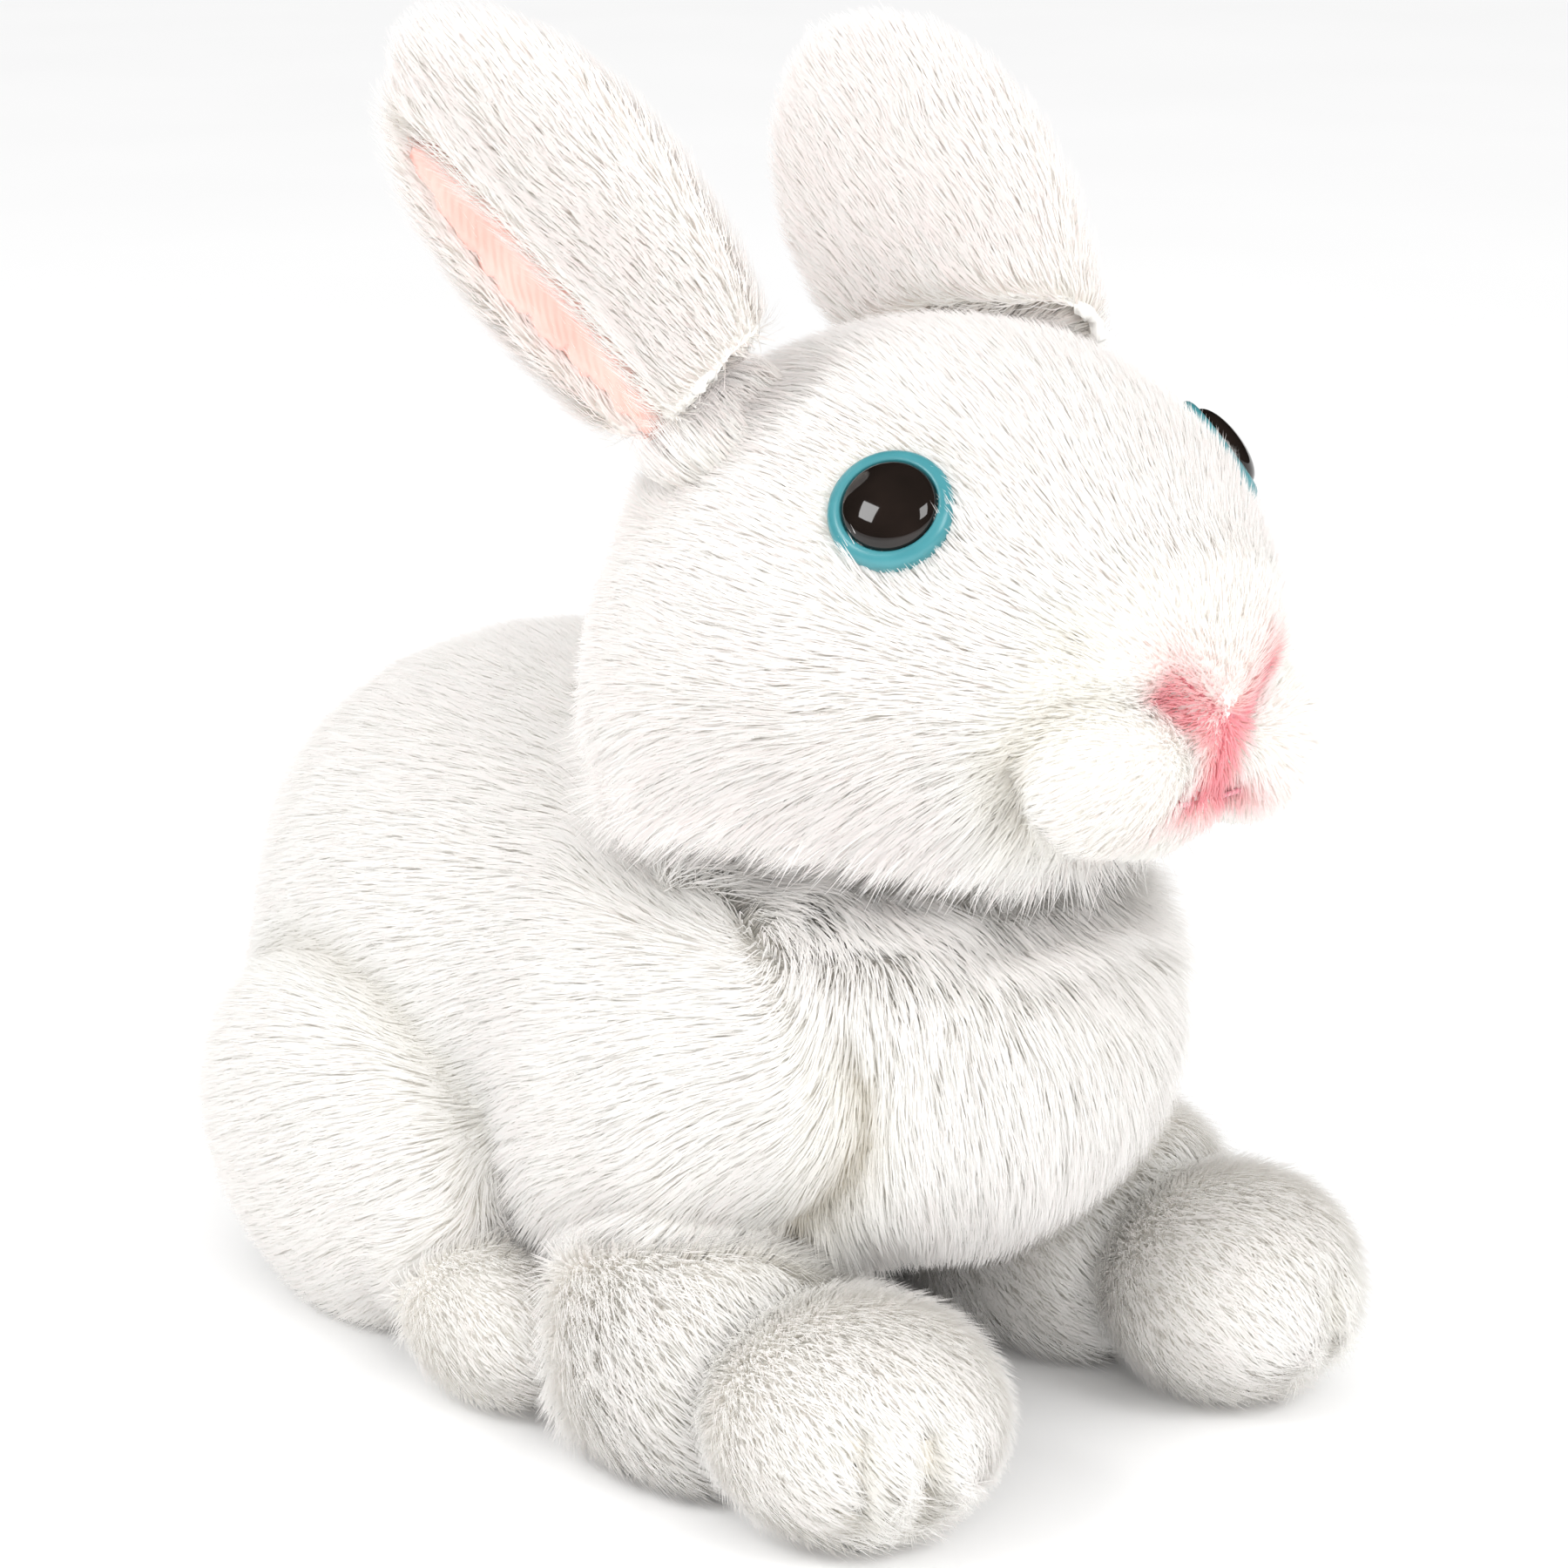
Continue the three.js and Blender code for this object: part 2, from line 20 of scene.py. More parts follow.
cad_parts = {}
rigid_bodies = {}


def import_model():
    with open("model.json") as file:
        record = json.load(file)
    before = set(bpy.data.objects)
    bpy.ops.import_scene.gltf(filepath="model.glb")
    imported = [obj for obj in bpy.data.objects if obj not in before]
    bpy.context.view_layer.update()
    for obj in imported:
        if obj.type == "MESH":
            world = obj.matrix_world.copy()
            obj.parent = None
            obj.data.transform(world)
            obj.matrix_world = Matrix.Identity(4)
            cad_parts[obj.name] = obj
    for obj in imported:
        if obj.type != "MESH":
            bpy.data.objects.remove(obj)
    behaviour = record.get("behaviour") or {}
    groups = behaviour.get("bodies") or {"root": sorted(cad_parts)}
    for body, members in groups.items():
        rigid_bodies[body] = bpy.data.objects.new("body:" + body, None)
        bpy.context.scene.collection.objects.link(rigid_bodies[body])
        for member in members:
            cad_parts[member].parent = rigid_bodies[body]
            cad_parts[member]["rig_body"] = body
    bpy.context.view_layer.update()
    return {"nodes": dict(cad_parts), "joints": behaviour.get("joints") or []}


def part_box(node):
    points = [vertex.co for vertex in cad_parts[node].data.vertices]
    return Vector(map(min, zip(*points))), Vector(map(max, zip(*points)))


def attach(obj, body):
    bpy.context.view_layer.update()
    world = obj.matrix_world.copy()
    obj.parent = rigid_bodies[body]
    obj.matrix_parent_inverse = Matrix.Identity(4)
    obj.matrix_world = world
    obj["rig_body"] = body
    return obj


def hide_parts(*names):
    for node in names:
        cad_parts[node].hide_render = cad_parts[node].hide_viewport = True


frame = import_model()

MM = 0.001
SIDES = {"right": -1, "left": 1}

# %% [markdown]
# ## Camera, floor and light
#
# A soft toy has no sharp highlights, so its shape is read from broad light and from the shade in
# its creases. Two square softboxes stand in front, one on each side, and show in the eyes. A white
# floor and an even white sky do most of the work, as in a product studio for white toys.

# %% Set the camera
VIEW_AZIMUTH = math.radians(-40)
VIEW_ELEVATION = math.radians(16)
VIEW_DISTANCE = 0.56
VIEW_ANGLE = math.radians(22.36)
VIEW_TARGET = Vector((0, -0.01785, 0.082))


def seen_from(azimuth, elevation, distance):
    away = Vector((math.sin(azimuth), -math.cos(azimuth), math.tan(elevation)))
    return VIEW_TARGET + distance * away.normalized()


def aimed(thing, place):
    thing.location = place
    thing.rotation_euler = (VIEW_TARGET - Vector(place)).to_track_quat("-Z", "Y").to_euler()
    bpy.context.scene.collection.objects.link(thing)
    return thing


lens = bpy.data.cameras.new("camera")
lens.angle = VIEW_ANGLE
lens.clip_start = 0.01
camera = aimed(
    bpy.data.objects.new("camera", lens),
    seen_from(VIEW_AZIMUTH, VIEW_ELEVATION, VIEW_DISTANCE),
)
bpy.context.scene.camera = camera
print("camera at", [round(v, 3) for v in camera.location])

# %% Set the lights
SOFTBOXES = [  # name, azimuth and elevation in degrees, distance, side, watts, shows in the eyes
    ("key", -92, 40, 0.8, 0.26, 1.9, True),
    ("fill", 0, 36, 0.8, 0.26, 1.5, True),
    ("front", -26, 5, 1.2, 1.0, 5.2, False),
    ("top", -60, 74, 1.2, 0.9, 0.5, False),
]
for name, azimuth, elevation, distance, side, watts, shows in SOFTBOXES:
    light = bpy.data.lights.new(name, "AREA")
    light.shape = "SQUARE"
    light.size = side
    light.energy = watts
    place = seen_from(math.radians(azimuth), math.radians(elevation), distance)
    softbox = aimed(bpy.data.objects.new(name, light), place)
    softbox.visible_glossy = shows

sky = bpy.data.worlds.new("sky")
bpy.context.scene.world = sky
sky.use_nodes = True
sky.node_tree.nodes["Background"].inputs["Color"].default_value = (1, 1, 1, 1)
sky.node_tree.nodes["Background"].inputs["Strength"].default_value = 1.04
sky.cycles_visibility.glossy = False
bpy.context.scene.view_settings.view_transform = "Standard"
print("lights:", [entry[0] for entry in SOFTBOXES])

# %% [markdown]
# ## Finishes
#
# Every finish is made of nodes. The pile's colour depends on two things only: how far along the
# strand a point is, which paints shade at the root, and the strand's own tone. The tone runs from a
# cream painted shade for the creases, through white, to the rose that is brushed on at the nose.
# Each strand carries both as its UV place, so one small picture holds every colour that the pile can have.

# %% Helpers for nodes


def feed(tree, socket, value):
    """Links a socket to another, or sets its value."""
    if isinstance(value, bpy.types.NodeSocket):
        tree.links.new(value, socket)
    else:
        socket.default_value = value


def add(tree, kind, inputs=None, **settings):
    """A node in a tree, with its settings made and its inputs set or linked."""
    node = tree.nodes.new(kind)
    for name, value in settings.items():
        setattr(node, name, value)
    for name, value in (inputs or {}).items():
        feed(tree, node.inputs[name], value)
    return node


def ramp(tree, factor, stops):
    """A colour ramp through (place, colour) stops."""
    node = add(tree, "ShaderNodeValToRGB", {"Fac": factor})
    band = node.color_ramp
    band.elements[0].position, band.elements[0].color = stops[0][0], (*stops[0][1], 1)
    band.elements[1].position, band.elements[1].color = stops[-1][0], (*stops[-1][1], 1)
    for place, colour in stops[1:-1]:
        band.elements.new(place).color = (*colour, 1)
    return node.outputs["Color"]


def finish_of(name, roughness, **sockets):
    """A material and its tree, with the values that are the same all over on the shader."""
    material = bpy.data.materials.new(name)
    material.use_nodes = True
    shader = material.node_tree.nodes["Principled BSDF"]
    shader.inputs["Roughness"].default_value = roughness
    for socket, value in sockets.items():
        shader.inputs[socket.replace("_", " ")].default_value = value
    return material, material.node_tree, shader


def mottled(name, roughness, grain, dark, light, **sockets):
    """A material whose colour drifts a little from place to place."""
    material, tree, shader = finish_of(name, roughness, **sockets)
    here = add(tree, "ShaderNodeTexCoord").outputs["Object"]
    noise = add(tree, "ShaderNodeTexNoise", {"Vector": here, "Scale": grain})
    colour = ramp(tree, noise.outputs["Fac"], [(0.3, dark), (0.7, light)])
    tree.links.new(colour, shader.inputs["Base Color"])
    return material


# %% Pile and cloth finishes
# Painted shade: the cream and the warm white that the pile takes on at low tone, in its creases.
CREASE_PAINTED_SHADE = (0.74, 0.69, 0.58)
WARM_WHITE = (0.93, 0.915, 0.88)
WHITE = (0.965, 0.96, 0.948)
BLUSH = (0.93, 0.66, 0.66)
ROSE = (0.90, 0.36, 0.42)
SALMON = (0.86, 0.50, 0.43)
PALE_SALMON = (0.94, 0.74, 0.69)


def strand_group():
    """What both piles share: painted shade that makes a strand darker at its root than at its tip."""
    tree = bpy.data.node_groups.new("strand", "ShaderNodeTree")
    for name in ("Tone", "Root Shade"):
        tree.interface.new_socket(name, in_out="INPUT", socket_type="NodeSocketColor")
    tree.interface.new_socket("Colour", in_out="OUTPUT", socket_type="NodeSocketColor")
    given = tree.nodes.new("NodeGroupInput").outputs
    place = add(tree, "ShaderNodeUVMap", uv_map="OFBake")
    along = add(tree, "ShaderNodeSeparateXYZ", {"Vector": place.outputs["UV"]}).outputs["Y"]
    rise = add(tree, "ShaderNodeMapRange", {"Value": along, "From Max": 0.6})
    shade = tree.nodes.new("ShaderNodeMix")
    shade.data_type = "RGBA"
    tree.links.new(rise.outputs["Result"], shade.inputs[0])
    tree.links.new(given["Root Shade"], shade.inputs[6])
    shade.inputs[7].default_value = (1, 1, 1, 1)
    colour = tree.nodes.new("ShaderNodeMix")
    colour.data_type, colour.blend_type = "RGBA", "MULTIPLY"
    colour.inputs[0].default_value = 1
    tree.links.new(given["Tone"], colour.inputs[6])
    tree.links.new(shade.outputs[2], colour.inputs[7])
    tree.links.new(colour.outputs[2], tree.nodes.new("NodeGroupOutput").inputs["Colour"])
    return tree


strand_nodes = strand_group()


THROUGH = 0.5  # the share of light that shines through a strand


def pile_finish(name, tones, root_painted_shade):
    """Pile coloured by its UV place: tone across, and painted shade from root to tip along. Some light
    shines through.
    """
    material, tree, shader = finish_of(name, 0.85, Sheen_Weight=0.2, Specular_IOR_Level=0.15)
    place = add(tree, "ShaderNodeUVMap", uv_map="OFBake")
    across = add(tree, "ShaderNodeSeparateXYZ", {"Vector": place.outputs["UV"]}).outputs["X"]
    strand = tree.nodes.new("ShaderNodeGroup")
    strand.node_tree = strand_nodes
    tree.links.new(ramp(tree, across, tones), strand.inputs["Tone"])
    strand.inputs["Root Shade"].default_value = (*root_painted_shade, 1)
    tree.links.new(strand.outputs["Colour"], shader.inputs["Base Color"])
    through = add(tree, "ShaderNodeBsdfTranslucent", {"Color": strand.outputs["Colour"]})
    both = add(tree, "ShaderNodeMixShader", {"Fac": THROUGH})
    tree.links.new(shader.outputs["BSDF"], both.inputs[1])
    tree.links.new(through.outputs["BSDF"], both.inputs[2])
    tree.links.new(both.outputs["Shader"], tree.nodes["Material Output"].inputs["Surface"])
    return material


# Tones below the middle paint crease shade into the pile; tones above it are the rose at the nose.
PLUSH_TONES = [(0, CREASE_PAINTED_SHADE), (0.25, WARM_WHITE), (0.5, WHITE), (0.72, BLUSH), (1, ROSE)]
LINING_TONES = [(0, SALMON), (0.6, PALE_SALMON), (1, WHITE)]
# The last colour given to each pile is the painted shade at its strands' roots.
plush_pile = pile_finish("plush_pile", PLUSH_TONES, (0.97, 0.958, 0.93))
lining_pile = pile_finish("lining_pile", LINING_TONES, (0.93, 0.90, 0.88))


def cloth_finish(name, light, dark):
    """Knitted backing, with fine ribs and a slow change of shade."""
    material, tree, shader = finish_of(name, 0.95, Specular_IOR_Level=0.1)
    place = add(tree, "ShaderNodeTexCoord").outputs["Object"]
    shade = add(tree, "ShaderNodeTexNoise", {"Vector": place, "Scale": 90})
    colour = ramp(tree, shade.outputs["Fac"], [(0.3, dark), (0.7, light)])
    tree.links.new(colour, shader.inputs["Base Color"])
    rib = add(tree, "ShaderNodeTexWave", {"Vector": place, "Scale": 400, "Distortion": 2})
    bump = add(tree, "ShaderNodeBump", {"Strength": 0.3, "Distance": 0.0003, "Height": rib.outputs["Fac"]})
    tree.links.new(bump.outputs["Normal"], shader.inputs["Normal"])
    return material


plush_cloth = cloth_finish("plush_cloth", (0.95, 0.94, 0.915), (0.90, 0.885, 0.85))
lining_cloth = cloth_finish("lining_cloth", (0.93, 0.62, 0.56), (0.88, 0.52, 0.46))
print("finishes:", sorted(m.name for m in bpy.data.materials))

# %% Floor
FLOOR_SIZE = 40
FLOOR_LEVEL = -0.4 * MM
floor_finish = mottled("floor_finish", 0.9, 5, (0.955, 0.955, 0.955), (0.97, 0.97, 0.97))
bpy.ops.mesh.primitive_plane_add(size=FLOOR_SIZE, location=(0, 0, FLOOR_LEVEL))
floor = bpy.context.object
floor.name = "floor"
floor.data.materials.append(floor_finish)

# %% [markdown]
# ## Skins
#
# On the real toy each cover is cut from pile cloth, sewn inside out and stuffed. The skin made here
# is the cloth that the pile is knitted into, so it lies deeper than the frame's surface by the depth
# of the combed pile. The faceted solids of one stuffed part are joined, remeshed into one even grid
# and smoothed. Then the skin is drawn in wherever a thread or a seam pulls it.

# %% Helpers for skins


def mesh_of(node):
    """A CAD node's mesh with its loose triangles merged, as a bmesh."""
    made = bmesh.new()
    made.from_mesh(frame["nodes"][node].data)
    bmesh.ops.remove_doubles(made, verts=made.verts, dist=0.01 * MM)
    return made


def surface_of(nodes):
    """A search tree over the surfaces of several CAD nodes."""
    places, faces = [], []
    for node in nodes:
        made = mesh_of(node)
        made.verts.index_update()
        faces += [[v.index + len(places) for v in f.verts] for f in made.faces]
        places += [v.co.copy() for v in made.verts]
        made.free()
    return BVHTree.FromPolygons(places, faces)


def gaps(points, tree, far=0.03):
    """How far each point is from a surface, up to a limit."""
    found = [tree.find_nearest(Vector(p), far)[3] for p in points]
    return np.array([far if gap is None else gap for gap in found])


def smoothstep(low, high, values):
    part = np.clip((values - low) / (high - low), 0, 1)
    return part * part * (3 - 2 * part)


def read(mesh, what="vertices", field="co"):
    """The mesh's places or normals as an array of rows."""
    rows = getattr(mesh, what)
    flat = np.empty(len(rows) * 3, np.float32)
    rows.foreach_get(field, flat)
    return flat.reshape(-1, 3).astype(float)


def place(mesh, points):
    mesh.vertices.foreach_set("co", points.astype(np.float32).ravel())
    mesh.update()


def as_object(name, mesh):
    made = bpy.data.objects.new(name, mesh)
    bpy.context.scene.collection.objects.link(made)
    return made


def evaluated(made, name):
    """The object's mesh with its modifiers applied."""
    shown = made.evaluated_get(bpy.context.evaluated_depsgraph_get())
    mesh = bpy.data.meshes.new_from_object(shown)
    mesh.name = name
    return mesh


def joined(nodes, name):
    """One mesh that holds several CAD nodes."""
    whole = bmesh.new()
    for node in nodes:
        part = mesh_of(node)
        piece = bpy.data.meshes.new("part")
        part.to_mesh(piece)
        part.free()
        whole.from_mesh(piece)
        bpy.data.meshes.remove(piece)
    mesh = bpy.data.meshes.new(name)
    whole.to_mesh(mesh)
    whole.free()
    return mesh


def largest_shell(mesh):
    """Keeps only the outermost of the mesh's separate surfaces."""
    made = bmesh.new()
    made.from_mesh(mesh)
    left, shells = set(made.verts), []
    while left:
        grown, edge = set(), [left.pop()]
        while edge:
            vert = edge.pop()
            grown.add(vert)
            for link in vert.link_edges:
                other = link.other_vert(vert)
                if other in left:
                    left.discard(other)
                    edge.append(other)
        shells.append(grown)
    shells.sort(key=len, reverse=True)
    bmesh.ops.delete(made, geom=[v for shell in shells[1:] for v in shell], context="VERTS")
    bmesh.ops.recalc_face_normals(made, faces=made.faces)
    made.to_mesh(mesh)
    made.free()
    return mesh


def remeshed(nodes, name, voxel, smoothing):
    """One even, smooth, closed surface round several CAD nodes."""
    made = as_object(name, joined(nodes, name))
    remesh = made.modifiers.new("remesh", "REMESH")
    remesh.mode = "VOXEL"
    remesh.voxel_size = voxel
    smooth = made.modifiers.new("smooth", "SMOOTH")
    smooth.iterations = smoothing
    mesh = evaluated(made, name)
    bpy.data.objects.remove(made)
    return largest_shell(mesh)


# %% [markdown]
# Where two pieces are sewn together, the seam pulls the cloth in and the pile folds over it. The
# frame says where each seam runs: it is where two covers lie against each other.

# %% Seams
SEAM_REACH = 0.9 * MM


def points_along(edges, step):
    """Points spaced along mesh edges."""
    points = []
    for edge in edges:
        a, b = (v.co for v in edge.verts)
        count = max(2, int((b - a).length / step))
        points += [a.lerp(b, i / count) for i in range(count + 1)]
    return np.array([tuple(p) for p in points])


def seam_between(first, second, step=1.0 * MM):
    """Points along the line where two CAD nodes meet."""
    other = surface_of([second])
    made = mesh_of(first)
    touching = {v for v in made.verts if (other.find_nearest(v.co)[3] or 0) < SEAM_REACH}
    points = points_along([e for e in made.edges if touching.issuperset(e.verts)], step)
    made.free()
    return points


def line_of(node, step=0.5 * MM):
    """Points along every edge of a thin node such as a thread."""
    made = mesh_of(node)
    points = points_along(made.edges, step)
    made.free()
    return points


def tree_of(points):
    """A search tree over points."""
    tree = KDTree(len(points))
    for index, point in enumerate(points):
        tree.insert(point, index)
    tree.balance()
    return tree


def near(points, seam, width):
    """1 on a seam, falling to 0 a few widths away from it."""
    tree = tree_of(seam)
    found = np.array([tree.find(point)[2] for point in points])
    return np.exp(-((found / width) ** 2))


chest_seam = seam_between("chest_panel", "body_cover")
mouth_line = line_of("mouth_thread")
print("seam points:", len(chest_seam), len(mouth_line))

# %% [markdown]
# ## From one stuffed part to its sewn skins
#
# A part is made whole first, so that its surface runs smoothly over the seams. The head, body and
# front legs are then swollen by a short cloth simulation: the stuffing's pressure pushes the cloth
# out, and it is held at the seams and where it is pressed. Then each point is given to the cover
# that it lies nearest to, and the part is taken apart again into one skin for each cover. Every
# skin carries four measures for the pile that grows on it: which way the pile is combed, how long
# it is, how thick it stands and its tone.

# %% A stuffed part
FLOOR_GAP = 0.3 * MM
BACKING = 0.8 * MM  # thickness of the knitted cloth
STUFF_STEPS = 20
STUFF_PRESSURE = 4
STUFF_CAP = 1.6 * MM  # the furthest that swelling may move a point
BARE = (0.3 * MM, 0.9 * MM)  # gaps to a neighbour between which the pile thins out
COVERS = [n for n in frame["nodes"] if n.endswith(("_cover", "_panel", "_back"))]


def ear_root(side):
    """Where an ear's hinge is."""
    return np.array(next(j["pos_m"] for j in frame["joints"] if j["name"] == f"ear_{side}_fold"))


def unit(vectors):
    return vectors / np.maximum(np.linalg.norm(vectors, axis=-1, keepdims=True), 1e-9)


class Part:
    """One stuffed part of the toy while its skins are being made."""

    def __init__(self, name, nodes, voxel=2.0 * MM, smoothing=14):
        self.name, self.nodes = name, nodes
        self.mesh = remeshed(nodes, name, voxel, smoothing)
        others = [n for n in COVERS if n not in nodes]
        self.neighbours = surface_of(others)
        self.body = frame["nodes"][nodes[0]]["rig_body"]
        self.refresh()

    def refresh(self):
        self.points = read(self.mesh)
        self.normals = unit(read(self.mesh, "vertices", "normal"))

    def sink(self, depths):
        """Moves each point inwards by its own depth."""
        place(self.mesh, self.points - self.normals * np.asarray(depths).reshape(-1, 1))
        self.refresh()

    def stuff(self, held):
        """Cloth swelling under the stuffing's pressure, held where it is sewn or pressed."""
        made = as_object("swelling", self.mesh.copy())
        pins = made.vertex_groups.new(name="held")
        for index, weight in enumerate(np.clip(held, 0, 1)):
            pins.add([index], float(weight), "REPLACE")
        cloth = made.modifiers.new("cloth", "CLOTH").settings
        cloth.vertex_group_mass = "held"
        cloth.quality = 4
        cloth.use_pressure = True
        cloth.uniform_pressure_force = STUFF_PRESSURE
        cloth.effector_weights.gravity = 0
        for step in range(1, STUFF_STEPS + 1):
            bpy.context.scene.frame_set(step)
        moved = evaluated(made, "swollen")
        step = read(moved) - self.points
        reach = np.linalg.norm(step, axis=1, keepdims=True)
        print(self.name, "swelled by", round(float(reach.mean()) / MM, 2), "mm")
        bpy.data.objects.remove(made)
        bpy.data.meshes.remove(moved)
        bpy.context.scene.frame_set(1)
        place(self.mesh, self.points + step * np.minimum(1, STUFF_CAP / np.maximum(reach, 1e-9)))
        self.refresh()

    def clear(self, low=1.5 * MM, high=5 * MM):
        """0 where the part is pressed against a neighbour, 1 where it is free."""
        return smoothstep(low, high, gaps(self.points, self.neighbours))

    def flat(self, directions):
        """The directions laid along the surface."""
        across = np.broadcast_to(directions, self.points.shape)
        lift = np.sum(across * self.normals, axis=1, keepdims=True)
        return unit(across - lift * self.normals)


def give(mesh, name, values):
    """Stores a number or a direction at each of a mesh's points."""
    kind, field = ("FLOAT", "value") if values.ndim == 1 else ("FLOAT_VECTOR", "vector")
    layer = mesh.attributes.new(name, kind, "POINT")
    layer.data.foreach_set(field, values.astype(np.float32).ravel())


def share_of(mesh, chosen, name):
    """A copy of a mesh that keeps only the chosen faces."""
    made = bmesh.new()
    made.from_mesh(mesh)
    made.faces.ensure_lookup_table()
    bmesh.ops.delete(made, geom=[made.faces[i] for i in np.flatnonzero(~chosen)], context="FACES")
    kept = bpy.data.meshes.new(name)
    made.to_mesh(kept)
    made.free()
    return kept


def skins_of(part, covers, hole=None):
    """Splits a part's mesh into one mesh for each cover, by which cover is nearest."""
    trees = [surface_of([cover]) for cover in covers]
    middles = read(part.mesh, "polygons", "center")
    nearest = np.argmin([gaps(middles, tree, 0.1) for tree in trees], axis=0)
    if hole is not None:
        nearest[hole(middles)] = -1
    return [share_of(part.mesh, nearest == i, cover) for i, cover in enumerate(covers)]


# %% [markdown]
# ## Pile
#
# One strand is a flat blade of three faces that bends from standing to combed. Geometry Nodes
# scatter it over a skin, turn it along the comb, pull neighbours together into small tufts and make
# the result plain mesh. The blades shade with the skin's own direction, mixed with a little of
# theirs, because a dense pile reflects light as one soft surface.

# %% The pile tree
BLADE_ROOT_LEAN = math.radians(28)
BLADE_TIP_LEAN = math.radians(88)
BLADE_STEPS = 3
UV_HALF_WIDTH = 0.006


def maths(tree, operation, *values):
    node = tree.nodes.new("ShaderNodeMath")
    node.operation = operation
    for socket, value in zip(node.inputs, values):
        feed(tree, socket, value)
    return node.outputs[0]


def vector_maths(tree, operation, *values, output=0):
    node = tree.nodes.new("ShaderNodeVectorMath")
    node.operation = operation
    for index, value in enumerate(values):
        socket = node.inputs["Scale"] if operation == "SCALE" and index == 1 else node.inputs[index]
        feed(tree, socket, value)
    return node.outputs[output]


def named(tree, name, kind="FLOAT"):
    node = add(tree, "GeometryNodeInputNamedAttribute", {"Name": name}, data_type=kind)
    return node.outputs["Attribute"]


def stored(tree, geometry, name, value, kind="FLOAT", domain="POINT"):
    node = add(
        tree,
        "GeometryNodeStoreNamedAttribute",
        {"Geometry": geometry, "Name": name, "Value": value},
        data_type=kind,
        domain=domain,
    )
    return node.outputs["Geometry"]


def combined(tree, x, y, z):
    node = tree.nodes.new("ShaderNodeCombineXYZ")
    for socket, value in zip(node.inputs, (x, y, z)):
        feed(tree, socket, value)
    return node.outputs[0]


def noise_at(tree, scale, seed):
    """A smooth random direction that changes over the surface, between -1 and 1."""
    here = tree.nodes.new("GeometryNodeInputPosition").outputs["Position"]
    moved = vector_maths(tree, "ADD", here, combined(tree, seed, seed, seed))
    noise = add(tree, "ShaderNodeTexNoise", {"Vector": moved, "Scale": scale, "Detail": 1})
    centred = vector_maths(tree, "SUBTRACT", noise.outputs["Color"], (0.5, 0.5, 0.5))
    return vector_maths(tree, "SCALE", centred, 2.0)


def random_vector(tree, seed):
    node = tree.nodes.new("FunctionNodeRandomValue")
    node.data_type = "FLOAT_VECTOR"
    node.inputs["Min"].default_value = (-1, -1, -1)
    node.inputs["Max"].default_value = (1, 1, 1)
    tree.links.new(seed, node.inputs["Seed"])
    return node.outputs[0]


def random_number(tree, low, high, seed):
    node = tree.nodes.new("FunctionNodeRandomValue")
    node.data_type = "FLOAT"
    node.inputs[2].default_value = low
    node.inputs[3].default_value = high
    tree.links.new(seed, node.inputs["Seed"])
    return node.outputs[1]


def blade(tree):
    """One strand of unit length and width, bent towards +Y as it rises along +Z."""
    grid = add(
        tree,
        "GeometryNodeMeshGrid",
        {"Size X": 1.0, "Size Y": 1.0, "Vertices X": 2, "Vertices Y": BLADE_STEPS},
    )
    here = tree.nodes.new("GeometryNodeInputPosition").outputs["Position"]
    axes = add(tree, "ShaderNodeSeparateXYZ", {"Vector": here})
    along = maths(tree, "ADD", axes.outputs["Y"], 0.5)
    mesh = stored(tree, grid.outputs["Mesh"], "along", along)
    mesh = stored(tree, mesh, "side", axes.outputs["X"])
    narrow = maths(tree, "SUBTRACT", 1.0, maths(tree, "POWER", along, 2.2))
    bend = (BLADE_TIP_LEAN - BLADE_ROOT_LEAN) / 2
    lean = maths(tree, "MULTIPLY_ADD", along, bend, BLADE_ROOT_LEAN)
    bent = combined(
        tree,
        maths(tree, "MULTIPLY", axes.outputs["X"], narrow),
        maths(tree, "MULTIPLY", along, maths(tree, "SINE", lean)),
        maths(tree, "MULTIPLY", along, maths(tree, "COSINE", lean)),
    )
    mesh = add(tree, "GeometryNodeSetPosition", {"Geometry": mesh, "Position": bent}).outputs[0]
    return add(tree, "GeometryNodeMergeByDistance", {"Geometry": mesh, "Distance": 0.0001}).outputs[0]


